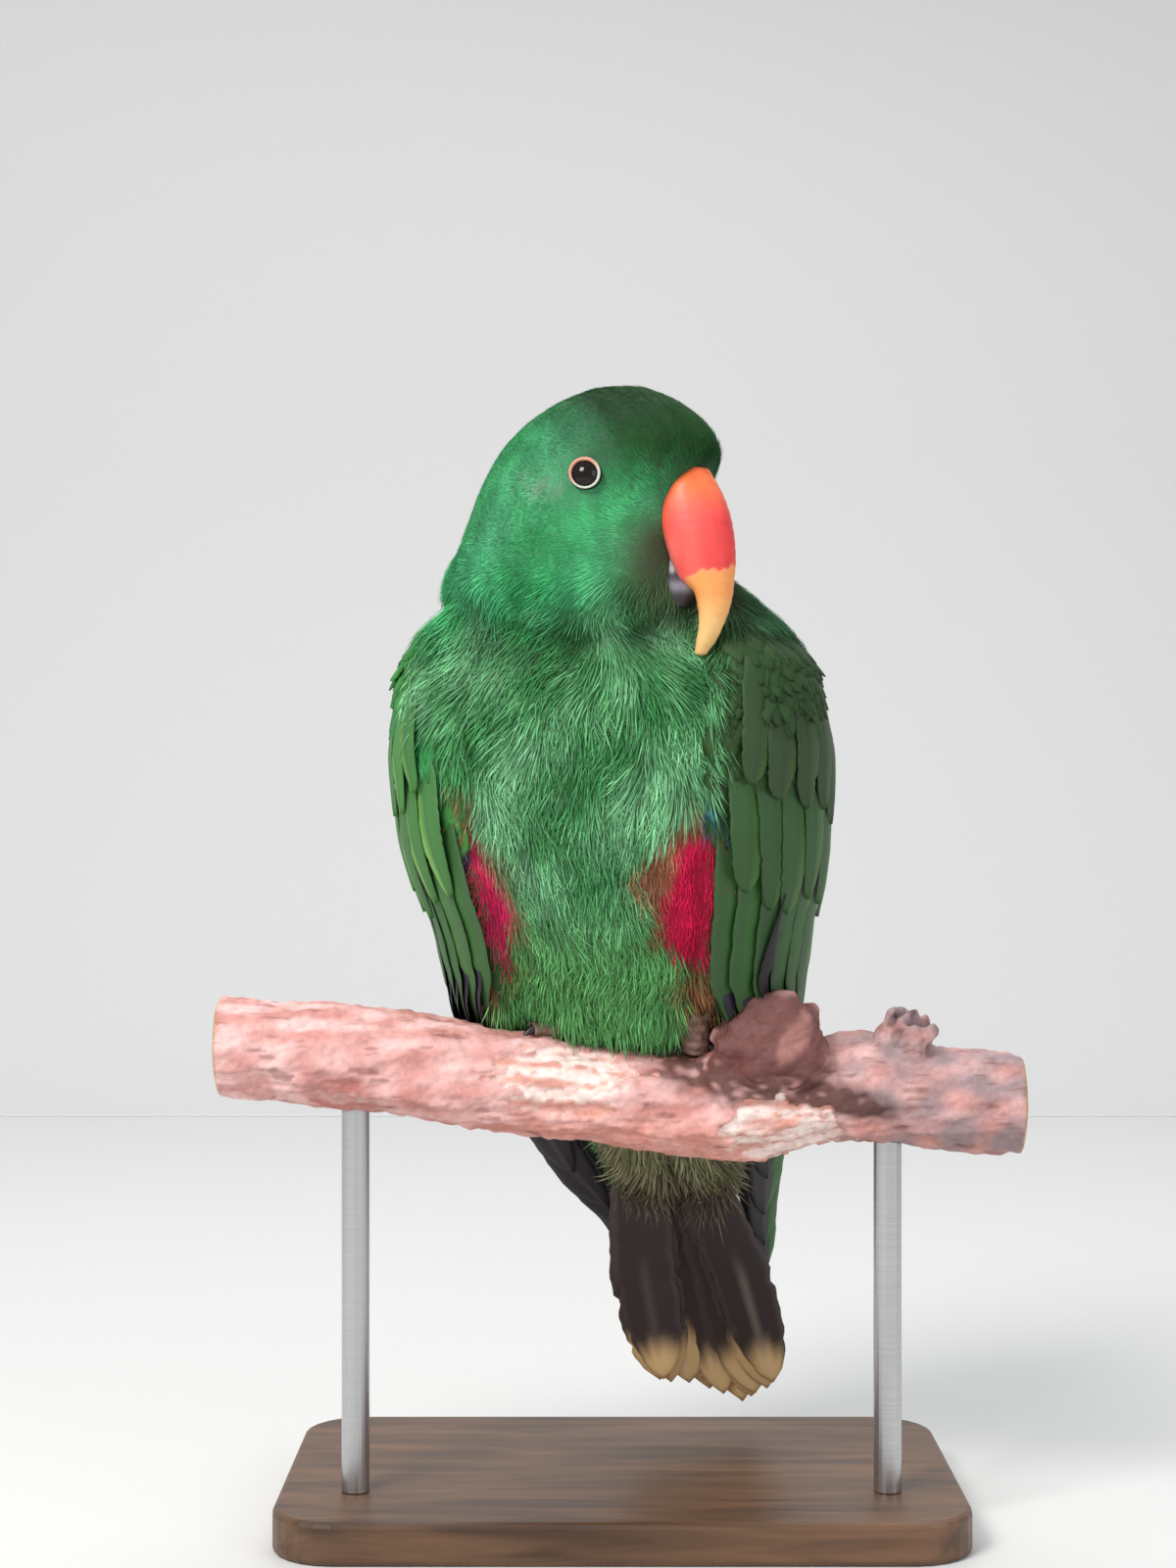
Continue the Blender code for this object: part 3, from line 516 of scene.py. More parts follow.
def body_form():
    z = np.linspace(126.0, 323.0, 130)
    azimuth = np.linspace(-180.0, 180.0, 120, endpoint=False)
    a, h = np.meshgrid(azimuth, z)
    points = around(BODY, a, h, body_relief(a, h) - coat_depth(h))
    crown = np.array(CROWN) - (0.0, 0.0, 1.2)
    faces = grid_faces(len(z), len(azimuth), True).tolist()
    faces.append(list(range(len(azimuth))))
    first = (len(z) - 1) * len(azimuth)
    count = first + len(azimuth)
    faces += [(first + j, first + (j + 1) % len(azimuth), count) for j in range(len(azimuth))]
    return outward(mesh_of("body", np.vstack([points.reshape(-1, 3), crown]), faces))


def wing_form(side):
    """Fleshy wing under its coverts."""
    z = np.linspace(150.0, 270.0, 64)
    share = np.linspace(0.0, 1.0, 30)
    s, h = np.meshgrid(share, z)
    edge = np.minimum(1.0, np.minimum(8 * s, 8 * (1 - s))) ** 0.5
    lift = (11.0 if side > 0 else 0.0) * np.maximum(0.0, (h - 215.0) / 50.0) ** 2 * np.sin(np.pi * s) ** 2
    sink = np.interp(h, [150, 200, 225, 250, 259, 265, 270], [3.8, 3.4, 2.2, 2.6, 4.6, 8.5, 13.0])
    outer = on_wing(side, s, h + lift, 0.5 + (wing_rise(h) - sink - 0.5) * np.where(h < 259.0, edge, 1.0))
    return slab("wing", outer, on_wing(side, s, h + lift, -4.0))


def tail_form():
    z = np.linspace(90.0, 128.0, 24)
    azimuth = np.linspace(0.0, 360.0, 40, endpoint=False)
    _, half, front, back = rows_at(TAIL_CORE, z).T
    line = rows_at(TAIL_LINE, z)
    beta = np.radians(azimuth)[None]
    depth = np.where(np.cos(beta) > 0, front[:, None], back[:, None])
    x = half[:, None] * np.sin(beta)
    y = -depth * np.cos(beta)
    yaw = math.radians(BODY_YAW)
    points = np.stack([line[:, 1, None] + x * math.cos(yaw) - y * math.sin(yaw),
                       line[:, 2, None] + x * math.sin(yaw) + y * math.cos(yaw),
                       np.broadcast_to(z[:, None], x.shape)], -1)
    faces = grid_faces(len(z), len(azimuth), True).tolist()
    faces += [list(range(40)), list(range((len(z) - 1) * 40, len(z) * 40))]
    return outward(mesh_of("tail", points, faces))


def thigh_form(x):
    z, radius = rows_at(PERCH, x)[1:]
    top = z + radius
    path = np.linspace((x, 6.0, top + 24.0), (x, 2.0, top + 9.0), 12)
    return tube_mesh("thigh", path, np.linspace(12.5, 5.5, 12), 24)


def place_on_body(points):
    """Azimuth of points round the body, and how far they stand out of it."""
    row = rows_at(BODY, points[:, 2])
    azimuth = np.degrees(np.arctan2(points[:, 0] - row[:, 1], -(points[:, 1] - row[:, 2])))
    on = around(BODY, azimuth, points[:, 2])
    out = (np.hypot(points[:, 0] - row[:, 1], points[:, 1] - row[:, 2])
           - np.hypot(on[:, 0] - row[:, 1], on[:, 1] - row[:, 2]))
    return azimuth, out


def wing_place(points, azimuth):
    """Side of the body, and share across the folded wing, of points round it."""
    local = (azimuth - BODY_YAW + 180.0) % 360.0 - 180.0
    side = np.where(local > 0, 1, -1)
    front = np.interp(points[:, 2], *WING_FRONT)
    back = np.interp(points[:, 2], *WING_BACK)
    return side, (np.abs(local) - front) / (back - front)


def seen_at(points):
    """Width and height of points as the front view's own picture plane has them, in millimetres."""
    near = 720.0 / (720.0 + points[:, 1])
    return (points[:, 0] + 5.6) * near, (points[:, 2] - 214.0) * near


def lock_phase(points, azimuth):
    """Phase across the locks that the soft plumage falls in."""
    return 2 * math.pi * (46 * azimuth / 360.0 + 0.45 * waves(points * (1.0, 1.0, 0.7), 30.0, 14))


def flanks(points, wing):
    """Shares of red, of its brown fringe and of blue at the flanks, rooted above where they show."""
    wide, high = seen_at(points)
    low = 5.0 - high
    ragged = 0.9 * waves(points, 9.0, 4) + 1.1 * waves(points * (1.0, 1.0, 0.4), 5.0, 6)
    front = (points[:, 1] < 26.0) & (wing < 0.6)
    inner = np.interp(low, [14, 22, 30, 40, 50, 58, 66], [-35.0, -29.5, -26.0, -22.5, -22.5, -23.0, -25.5]) + 0.6 * ragged
    red = step(inner - wide, -0.7, 0.7) * step(wide, -34.4, -33.0) * step(low, 14.0, 18.0) * step(-low, -66.5, -62.5)
    brown = 0.9 * step(-wide, 31.5, 33.5) * step(low, 4.0 + ragged, 8.0 + ragged) * step(-low, -24.0, -19.0)
    brown += 0.5 * step(inner + 3.5 + ragged - wide, -1.0, 1.0) * step(wide, -36.0, -34.0) * step(low, 14.0, 20.0) * step(-low, -60.0, -54.0)
    blue = step(-wide, 33.2, 34.6) * step(low, 20.0, 25.0) * step(-low, -60.0, -52.0)
    inner = np.interp(low, [17, 21, 29, 36, 43, 49, 55], [31.0, 27.0, 24.0, 21.6, 20.2, 23.0, 28.0]) + ragged
    red = red + step(wide - inner, -0.8, 0.8) * step(-wide, -40.0, -38.5) * step(low, 16.0, 20.0) * step(-low, -57.0, -54.0)
    outer = np.interp(low, [5, 17, 24, 34, 46, 52], [27.0, 22.0, 15.5, 14.0, 16.0, 22.0])
    brown += 0.85 * step(wide - outer - 1.6 * ragged, -1.2, 1.2) * step(low, 5.0, 16.0) * step(-low, -52.0, -44.0)
    brown += 0.8 * step(wide, 24.0, 29.0) * step(low, 54.0, 59.0) * step(-low, -86.0, -78.0)
    blue += step(wide, 32.0, 33.4) * step(low, 6.0, 10.0) * step(-low, -27.0, -23.0) * (wide > 0)
    return (np.clip(part, 0, 1) * front for part in (red, brown, blue))


def markings(points, azimuth, wing):
    """Colour of the plumage at points: emerald head, green breast, red flanks and blue wing edge."""
    z = points[:, 2]
    local = azimuth - BODY_YAW
    head = step(z + 2.0 * waves(points, 12.0, 2), 250.0, 268.0)
    mottle = waves(points, 26.0, 3)
    fine = waves(points, 9.0, 4)
    green = mix(np.broadcast_to(BREAST, points.shape), BREAST_LIGHT, np.clip(0.4 + 0.35 * mottle + 0.3 * fine, 0, 1))
    green = mix(green, BELLY, step(-z, -190.0, -165.0))
    crown = mix(np.broadcast_to(EMERALD, points.shape), EMERALD_LIGHT, np.clip(0.45 + 0.3 * mottle + 0.15 * fine, 0, 1))
    yaw = math.radians(HEAD_YAW)
    ahead = (points[:, 0] - HEAD_CENTRE[0]) * math.sin(yaw) - (points[:, 1] - HEAD_CENTRE[1]) * math.cos(yaw)
    brow = step(ahead + 0.5 * (z - 300.0), -16.0, 28.0) * step(z, 282.0, 304.0)
    crown = mix(crown, CROWN_DARK, np.clip(0.95 * brow + 0.3 * step(z, 306.0, 326.0), 0, 0.95))
    bill = np.linalg.norm(points - on_head(24.0, 0.0, 272.0), axis=1)
    crown = mix(crown, CHIN, 0.9 * step(-bill, -31.0, -13.0) * step(-z, -294.0, -280.0))
    wide, high = seen_at(points)
    # Pale bluish mottled spot on the side of the head that faces the light: painted sheen.
    painted_sheen_spot = bump(wide, -14.0, 6.5) * bump(high, 85.5, 4.0) * (points[:, 1] < 0)
    crown = mix(crown, FACE_PAINTED_SHEEN, np.clip(painted_sheen_spot * (0.5 + 0.4 * waves(points, 4.0, 17)), 0, 0.8))
    colour = mix(green, crown, head)
    # Darker along the crease where the cheeks' plumage hangs over the breast: painted shade.
    crease = bump(z, crease_height(azimuth) - 0.5, 5.0) * bump(azimuth, -16.0, 60.0)
    colour = mix(colour, CREASE_PAINTED_SHADE, np.clip(crease * (0.62 + 0.35 * fine), 0, 0.85))
    # Neck and shoulder on the bird's left, away from the light, darkened: painted shade.
    painted_shade = step(azimuth, 35.0, 75.0) * step(-azimuth, -150.0, -110.0) * step(z, 226.0, 240.0) * step(-z, -288.0, -264.0)
    colour = mix(colour, GREEN_DEEP_PAINTED_SHADE, 0.75 * painted_shade)
    line = rows_at(TAIL_LINE, z)
    under = step(line[:, 2] + 6.0 - points[:, 1], -2.0, 2.0)
    colour = mix(colour, OLIVE, step(-z, -140.0, -128.0) * under)
    colour = mix(colour, UNDERTAIL, 0.8 * step(-z + 2.0 * fine, -106.0, -92.0) * under)
    # Darker in the notch between the undertail lobes: painted shade.
    lobe_gap_shade = bump(points[:, 0] - line[:, 1], 1.5, 3.0) * step(-z, -118.0, -108.0)
    colour = mix(colour, 0.3 * UNDERTAIL, 0.8 * lobe_gap_shade * under)
    # Two dark spots below the crease, either side of the light tuft: painted shade.
    shade = (bump(wide, -3.5, 3.2) + bump(wide, 13.0, 4.0)) * bump(high, 43.0, 7.0) * (points[:, 1] < 0)
    colour = mix(colour, 0.6 * CREASE_PAINTED_SHADE, 0.6 * shade)
    colour = mix(colour, BREAST_LIGHT * 1.15, 0.85 * bump(wide, 4.6, 3.2) * bump(high, 46.0, 8.0) * (points[:, 1] < 0))
    red, fringe, blue = flanks(points, wing)
    left = points[:, 0] > 0
    colour = mix(colour, FLANK_EDGE, fringe)
    colour = mix(colour, np.where(left[:, None], TEAL, NAVY), blue)
    # The bird's left flank, away from the light, takes a deeper red: painted shade.
    colour = mix(colour, np.where(left[:, None], FLANK_RED_PAINTED_SHADE, FLANK_RED), red)
    # Brighter where strands gather into locks and darker in the gaps between them: painted light and shade, over a
    # random tone.
    locks = np.cos(lock_phase(points, azimuth)) * step(z, 134.0, 150.0) * step(-z, -256.0, -244.0) * (1 - red)
    tone = 1.0 + 0.16 * np.clip(waves(points * (1.0, 1.0, 0.5), 7.0, 7), -1, 1) + 0.22 * locks
    return colour * tone[:, None]


def lie_of(points, normals, azimuth, side, share, wing):
    """The way the coat lies: back from the bill, down the body, along the folded wings."""
    bill = on_head(30.0, 0.0, 284.0)
    away = points - bill
    away /= np.linalg.norm(away, axis=1)[:, None]
    down = np.zeros_like(points)
    down[:, 2] = -1.0
    chest = step(points[:, 2], 178.0, 246.0)
    down[:, 0] = (0.002 + 0.016 * chest) * (points[:, 0] - 4.0)
    down[:, 0] += (0.18 + 0.24 * chest) * waves(points * (1, 1, 0.5), 26.0, 8)
    down[:, 0] += (0.14 + 0.26 * chest) * waves(points * (1, 1, 0.6), 10.0, 9)
    down[:, 1] += 0.12 * waves(points, 28.0, 10)
    turn = np.radians(azimuth)
    draw = -0.24 * np.sin(lock_phase(points, azimuth)) * step(points[:, 2], 128.0, 140.0)
    down += draw[:, None] * np.stack([np.cos(turn), np.sin(turn), np.zeros_like(turn)], -1)
    aside = points[:, 0] - rows_at(TAIL_LINE, points[:, 2])[:, 1]
    down[:, 0] += 0.03 * aside * step(-points[:, 2], -134.0, -120.0)
    head = step(points[:, 2], 256.0, 276.0)[:, None]
    flow = down * (1 - head) + (away + 0.10 * waves(points, 16.0, 11)[:, None]) * head
    z = points[:, 2]
    clipped = np.clip(share, 0.0, 1.0)
    ahead = np.where(side[:, None] > 0, on_wing(1, clipped, z - 2.0, 5.0) - on_wing(1, clipped, z, 5.0),
                     on_wing(-1, clipped, z - 2.0, 5.0) - on_wing(-1, clipped, z, 5.0))
    ahead /= np.linalg.norm(ahead, axis=1)[:, None]
    flow = flow * (1 - wing[:, None]) + ahead * wing[:, None]
    flow -= (flow * normals).sum(1)[:, None] * normals
    return flow / np.maximum(np.linalg.norm(flow, axis=1), 1e-6)[:, None]


def make_skin():
    """One seamless skin of body, head, wings, thighs and tail root, with its coat's facts."""
    forms = [body_form(), wing_form(-1), wing_form(1), tail_form()] + [thigh_form(x) for x in FOOT_PLACES]
    mesh = remeshed("skin", forms, 1.25, 3)
    points, normals = points_of(mesh)
    azimuth, out = place_on_body(points)
    side, share = wing_place(points, azimuth)
    lap = np.where(side < 0, np.interp(points[:, 2], [187, 203, 223, 262], [0, 0.02, 0.06, 0.14]), 0.0)
    lap = lap + 0.03 * waves(points, 9.0, 13)
    inside = step(share - lap, -0.03, 0.02) * step(-share, -1.03, -0.98) * step(points[:, 2], 140.0, 150.0)
    wing = inside * step(out, -0.6, 0.6) * step(-points[:, 2], -262.0, -254.0)
    shoulder = mix(np.broadcast_to(WING_GREEN, points.shape), WING_BLUISH,
                   np.clip(0.5 + 0.3 * waves(points, 22.0, 12), 0, 1) * step(points[:, 2], 190.0, 235.0))
    # Shoulder on the bird's left, away from the light, darkened: painted shade.
    shoulder = mix(shoulder, GREEN_DEEP_PAINTED_SHADE, 0.9 * (side > 0))
    put(mesh, "tint", mix(markings(points, azimuth, wing), shoulder, step(wing, 0.3, 0.7)))
    fall = np.interp(points[:, 2], [90, 128, 134, 144, 152, 160, 172], [0.1, 0.25, 1.0, 0.95, 0.6, 0.3, 0.0])
    ruff = 0.10 * bump(points[:, 2], crease_height(azimuth) + 6.0, 6.0)
    nape = 0.22 * bump(azimuth, -98.0, 30.0) * bump(points[:, 2], 266.0, 8.0)
    put(mesh, "raise", fall * (np.abs(azimuth - BODY_YAW) < 80.0) + (ruff + nape) * (wing < 0.5))
    put(mesh, "lie", lie_of(points, normals, azimuth, side, share, wing))
    root = np.stack([0.01 + 0.97 * (azimuth % 360.0) / 360.0, 0.01 + 0.97 * (points[:, 2] - 60.0) / 270.0,
                     np.zeros(len(points))], -1)
    put(mesh, "root", root)
    return mesh, points, normals, azimuth, side, share, wing


# Coat


def strand(rings, base, aim, bend, width, length, tone):
    """Three-sided strand from its base, tapered to a point, with its brightness along the tuft."""
    points, along = [], []
    for k in range(rings):
        u = k / rings
        half = 0.5 * width * (1.0 - 0.35 * u)
        x = base + aim * u**1.3
        y = length * u
        z = bend * math.sin(math.pi * 0.9 * u)
        points += [(x - half, y, z), (x, y, z + 0.6 * half), (x + half, y, z)]
        along += [u * tone] * 3
    points.append((base + aim, length, bend * math.sin(math.pi * 0.9)))
    along.append(tone)
    faces = [(0, 2, 1)]
    for k in range(rings - 1):
        for j in range(3):
            n = (j + 1) % 3
            faces.append((3 * k + j, 3 * k + n, 3 * k + 3 + n, 3 * k + 3 + j))
    tip = 3 * rings
    faces += [(tip - 3 + j, tip - 3 + (j + 1) % 3, tip) for j in range(3)]
    return points, faces, along


def tuft(name, seed, strands, spread, width, rings):
    """Tuft of a unit's length, of strands that fan a little from one root."""
    rng = random.Random(seed)
    points, faces, along = [], [], []
    for i in range(strands):
        place = (2 * i / (strands - 1) - 1) if strands > 1 else 0.0
        length = 1.0 - 0.22 * abs(place) - rng.uniform(0.0, 0.22)
        piece = strand(rings, 0.4 * spread * place, spread * (0.5 * place + rng.uniform(-0.3, 0.3)),
                       rng.uniform(0.02, 0.12), width * rng.uniform(0.7, 1.25), length, rng.uniform(0.5, 1.0))
        shift = len(points)
        points += [(x, y - 0.12, z - 0.04) for x, y, z in piece[0]]
        faces += [tuple(v + shift for v in face) for face in piece[1]]
        along += piece[2]
    mesh = mesh_of(name, np.array(points) / MM, faces)
    put(mesh, "along", along)
    spots = np.array(points)
    put(mesh, "patch", np.stack([spots[:, 0] * 0.4, spots[:, 1] - 0.5, np.zeros(len(spots))], -1))
    return bpy.data.objects.new(name, mesh)


def scale_feather(name, seed, width):
    """Small rounded covert of a unit's length, its tip frayed, closed above and below."""
    rng = random.Random(seed)
    rows, columns = 7, 5
    upper = []
    for k in range(rows):
        u = k / (rows - 1)
        half = 0.5 * width * float(np.interp(u, [0, 0.3, 0.7, 0.9, 1.0], [0.5, 0.95, 1.0, 0.74, 0.3]))
        for i in range(columns):
            c = 2 * i / (columns - 1) - 1
            fray = rng.uniform(-0.03, 0.03) if k == rows - 1 else 0.0
            y = u - 0.1 * c * c * (u > 0.8) + fray - 0.15
            upper.append((half * c, y, 0.07 * math.sin(math.pi * 0.8 * u) - 0.05 * c * c - 0.05))
    upper = np.array(upper)
    lower = upper - (0, 0, 0.03)
    mesh = slab(name, upper.reshape(rows, columns, 3) / MM, lower.reshape(rows, columns, 3) / MM)
    spots, _ = points_of(mesh)
    spots *= MM
    put(mesh, "along", np.clip(spots[:, 1] + 0.15, 0, 1))
    put(mesh, "patch", np.stack([spots[:, 0] * 0.6, spots[:, 1] - 0.4, np.zeros(len(spots))], -1))
    return bpy.data.objects.new(name, mesh)


def coat_tree():
    """Tree that sets tufts on a skin along its lie, each on a patch of the bake map at its root."""
    tree = bpy.data.node_groups.new("coat", "GeometryNodeTree")
    sockets = (("Geometry", "Geometry"), ("Spacing", "Float"), ("Length", "Float"), ("Width", "Float"),
               ("Lift", "Float"), ("Stray", "Float"), ("Seed", "Int"), ("Kinds", "Int"),
               ("Tufts", "Collection"), ("Finish", "Material"))
    for name, kind in sockets:
        tree.interface.new_socket(name, in_out="INPUT", socket_type="NodeSocket" + kind)
    tree.interface.new_socket("Geometry", in_out="OUTPUT", socket_type="NodeSocketGeometry")

    def add(kind, inputs, **settings):
        node = tree.nodes.new(kind)
        for key, value in settings.items():
            setattr(node, key, value)
        for key, value in inputs.items():
            if isinstance(value, bpy.types.NodeSocket):
                tree.links.new(value, node.inputs[key])
            else:
                node.inputs[key].default_value = value
        return node

    def named(name, kind):
        return add("GeometryNodeInputNamedAttribute", {"Name": name}, data_type=kind).outputs["Attribute"]

    def draw(low, high, seed):
        return add("FunctionNodeRandomValue", {2: low, 3: high, "Seed": seed}).outputs[1]

    given = tree.nodes.new("NodeGroupInput").outputs
    spots = add("GeometryNodeDistributePointsOnFaces",
                {"Mesh": given["Geometry"], "Distance Min": given["Spacing"], "Density Max": 3.0e6,
                 "Density Factor": named("cover", "FLOAT"), "Seed": given["Seed"]}, distribute_method="POISSON")
    stray = add("FunctionNodeRandomValue", {0: (-1.0, -1.0, -1.0), 1: (1.0, 1.0, 1.0), "Seed": 5},
                data_type="FLOAT_VECTOR").outputs[0]
    sway = add("ShaderNodeVectorMath", {0: stray, "Scale": given["Stray"]}, operation="SCALE").outputs[0]
    lie = add("ShaderNodeVectorMath", {0: named("lie", "FLOAT_VECTOR"), 1: sway}, operation="ADD").outputs[0]
    turn = add("FunctionNodeAxesToRotation", {"Primary Axis": spots.outputs["Normal"], "Secondary Axis": lie},
               primary_axis="Z", secondary_axis="Y").outputs[0]
    lift = add("ShaderNodeMath", {0: given["Lift"], 1: named("raise", "FLOAT")}, operation="ADD").outputs[0]
    lift = add("ShaderNodeMath", {0: lift, 1: draw(0.6, 1.4, 6)}, operation="MULTIPLY").outputs[0]
    lean = add("ShaderNodeCombineXYZ", {"X": lift, "Y": draw(-0.16, 0.16, 7)}).outputs[0]
    bend = add("FunctionNodeEulerToRotation", {"Euler": lean}).outputs[0]
    turn = add("FunctionNodeRotateRotation", {"Rotation": turn, "Rotate By": bend}, rotation_space="LOCAL").outputs[0]
    size = add("ShaderNodeMath", {0: named("size", "FLOAT"), 1: draw(0.78, 1.22, 8)}, operation="MULTIPLY").outputs[0]
    wide = add("ShaderNodeMath", {0: size, 1: given["Width"]}, operation="MULTIPLY").outputs[0]
    long = add("ShaderNodeMath", {0: size, 1: given["Length"]}, operation="MULTIPLY").outputs[0]
    scale = add("ShaderNodeCombineXYZ", {"X": wide, "Y": long, "Z": long}).outputs[0]
    shaded = add("GeometryNodeStoreNamedAttribute",
                 {"Geometry": spots.outputs["Points"], "Name": "shade", "Value": draw(0.78, 1.22, 9)}).outputs[0]
    last = add("ShaderNodeMath", {0: given["Kinds"], 1: 1.0}, operation="SUBTRACT").outputs[0]
    which = add("FunctionNodeRandomValue", {4: 0, 5: last, "Seed": 11}, data_type="INT").outputs[2]
    pieces = add("GeometryNodeCollectionInfo", {"Collection": given["Tufts"], "Separate Children": True,
                                                "Reset Children": True}).outputs[0]
    placed = add("GeometryNodeInstanceOnPoints",
                 {"Points": shaded, "Instance": pieces, "Pick Instance": True, "Instance Index": which,
                  "Rotation": turn, "Scale": scale}).outputs[0]
    real = add("GeometryNodeRealizeInstances", {"Geometry": placed}).outputs[0]
    patch = add("ShaderNodeVectorMath", {0: named("patch", "FLOAT_VECTOR"), "Scale": 0.003}, operation="SCALE").outputs[0]
    place = add("ShaderNodeVectorMath", {0: named("root", "FLOAT_VECTOR"), 1: patch}, operation="ADD").outputs[0]
    mapped = add("GeometryNodeStoreNamedAttribute", {"Geometry": real, "Name": "OFBake", "Value": place},
                 data_type="FLOAT2", domain="CORNER").outputs[0]
    done = add("GeometryNodeSetMaterial", {"Geometry": mapped, "Material": given["Finish"]}).outputs[0]
    tree.links.new(done, tree.nodes.new("NodeGroupOutput").inputs[0])
    return tree


def make_coat(name, skin, cover, size, tufts, finish, **sizes):
    """Plain mesh of tufts over the part of the skin that cover names."""
    base = skin.copy()
    put(base, "cover", cover)
    put(base, "size", size)
    carrier = object_of("carrier", base)
    group = bpy.data.collections.new("tufts")
    for piece in tufts:
        group.objects.link(piece)
    modifier = carrier.modifiers.new("coat", "NODES")
    modifier.node_group = COAT_TREE
    named = {item.name: item.identifier for item in COAT_TREE.interface.items_tree if item.in_out == "INPUT"}
    for key, value in {"Kinds": len(tufts), "Tufts": group, "Finish": finish, **sizes}.items():
        modifier[named[key]] = value
    mesh = bpy.data.meshes.new_from_object(carrier.evaluated_get(bpy.context.evaluated_depsgraph_get()))
    bpy.data.objects.remove(carrier)
    bpy.data.meshes.remove(base)
    bpy.data.collections.remove(group)
    mesh.shade_smooth()
    print(name, sum(len(p.vertices) - 2 for p in mesh.polygons), "triangles")
    made = object_of(name, mesh)
    "wing_plumage" if "wing" in name else "tail_plumage" if "tail" in name else "plumage"
    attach(made, "root")
    return made


# Flight feathers

VANE_ROWS = 44
VANE_COLUMNS = 9
VANE_SHAPE = ([0, 0.08, 0.25, 0.6, 0.8, 0.9, 0.96, 1.0], [0.35, 0.6, 0.9, 1.0, 0.9, 0.7, 0.42, 0.06])


def quill(path, normals, half, tilt, rng, splits=3, thick=0.35, fray=0.08, point=0.0):
    """Points of one vane about its midline, as rows of an upper and a lower face."""
    u = np.linspace(0, 1, len(path))
    c = np.linspace(-1, 1, VANE_COLUMNS)
    ahead = np.gradient(path, axis=0)
    ahead /= np.linalg.norm(ahead, axis=1)[:, None]
    across = np.cross(ahead, normals)
    across /= np.linalg.norm(across, axis=1)[:, None]
    up = np.cross(across, ahead)
    wide = half * np.interp(u, *VANE_SHAPE) * (1 - point * step(u, 0.45, 1.0))
    wide = wide[:, None] * np.ones(len(c))[None]
    for side in (0, 1):
        edge = (c < -0.6) if side == 0 else (c > 0.6)
        for _ in range(splits):
            at = rng.uniform(0.35, 0.95)
            wide[:, edge] *= 1 - rng.uniform(0.5, 1.5) * fray * np.exp(-((u - at) / 0.014) ** 2)[:, None]
    jag = 1 + 0.02 * np.sin(u * 190 + rng.uniform(0, 6))[:, None] * (np.abs(c) > 0.9)
    offset = wide * jag * c
    sag = tilt * c - 0.07 * half * c**2
    middle = path[:, None] + offset[..., None] * across[:, None] + sag[..., None] * up[:, None]
    body = thick * (0.35 + 0.65 * np.exp(-((c / 0.16) ** 2)))
    upper = middle + 0.5 * body[None, :, None] * up[:, None]
    lower = middle - 0.5 * body[None, :, None] * up[:, None]
    return upper, lower, u, c


class Plumes:
    """Gathers vanes into one mesh, with their tints, barb places and bake patches."""

    def __init__(self, slots):
        self.points, self.faces, self.tints, self.barbs, self.maps = [], [], [], [], []
        self.slots = slots
        self.count = 0

    def add(self, path, normals, half, tilt, rng, colour, **shape):
        upper, lower, u, c = quill(path, normals, half, tilt, rng, **shape)
        rows, columns = upper.shape[:2]
        shift = sum(len(p) for p in self.points)
        size = rows * columns
        face = grid_faces(rows, columns)
        rim = list(range(columns)) + [k * columns + columns - 1 for k in range(1, rows)]
        rim += [(rows - 1) * columns + i for i in range(columns - 2, -1, -1)]
        rim += [k * columns for k in range(rows - 2, 0, -1)]
        faces = np.concatenate([face, face[:, ::-1] + size,
                                np.array([(a, a + size, b + size, b) for a, b in zip(rim, rim[1:] + rim[:1])])])
        self.points.append(np.concatenate([upper.reshape(-1, 3), lower.reshape(-1, 3)]))
        self.faces.append(faces + shift)
        along, side = (f.ravel() for f in np.meshgrid(u, c, indexing="ij"))
        for above in (True, False):
            self.tints.append(colour(along, side, above))
            reach = np.linalg.norm(path[-1] - path[0])
            self.barbs.append(np.stack([along * reach - 1.1 * half * np.abs(side), side * 0.15 * half,
                                        np.full_like(along, 3.0 * self.count)], -1))
            slot = 2 * self.count + (not above)
            self.maps.append(np.stack([(slot + 0.5 + 0.42 * side) / (2 * self.slots), 0.02 + 0.96 * along], -1))
        self.count += 1

    def build(self, name, finish):
        mesh = mesh_of(name, np.concatenate(self.points), np.concatenate(self.faces))
        put(mesh, "tint", np.concatenate(self.tints))
        put(mesh, "barb", np.concatenate(self.barbs))
        spots = np.concatenate(self.maps)
        layer = mesh.uv_layers.new(name="OFBake")
        corners = np.empty(len(mesh.loops), np.int32)
        mesh.loops.foreach_get("vertex_index", corners)
        layer.data.foreach_set("uv", spots[corners].astype(np.float32).ravel())
        made = object_of(name, mesh, finish)
        print(name, sum(len(p.vertices) - 2 for p in mesh.polygons), "triangles")
        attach(made, "root")
        return made


def wing_path(side, shares, heights, rises, turn=0.0):
    """Midline of a vane on a folded wing, and the way its face looks, low down turned to the front."""
    u = np.linspace(0, 1, VANE_ROWS)
    share = shares[0] + (shares[1] - shares[0]) * u
    z = heights[0] + (heights[1] - heights[0]) * u
    rise = np.interp(u, np.linspace(0, 1, len(rises)), rises)
    path = on_wing(side, share, z, rise + (1.2 if turn else 0.0) * step(-z, -134.0, -112.0))
    face = path - on_wing(side, share, z, rise - 2.0)
    face /= np.linalg.norm(face, axis=1)[:, None]
    face = face + turn * step(-z, -150.0, -110.0)[:, None] * np.array((0.0, -1.0, 0.0))
    return path, face / np.linalg.norm(face, axis=1)[:, None]


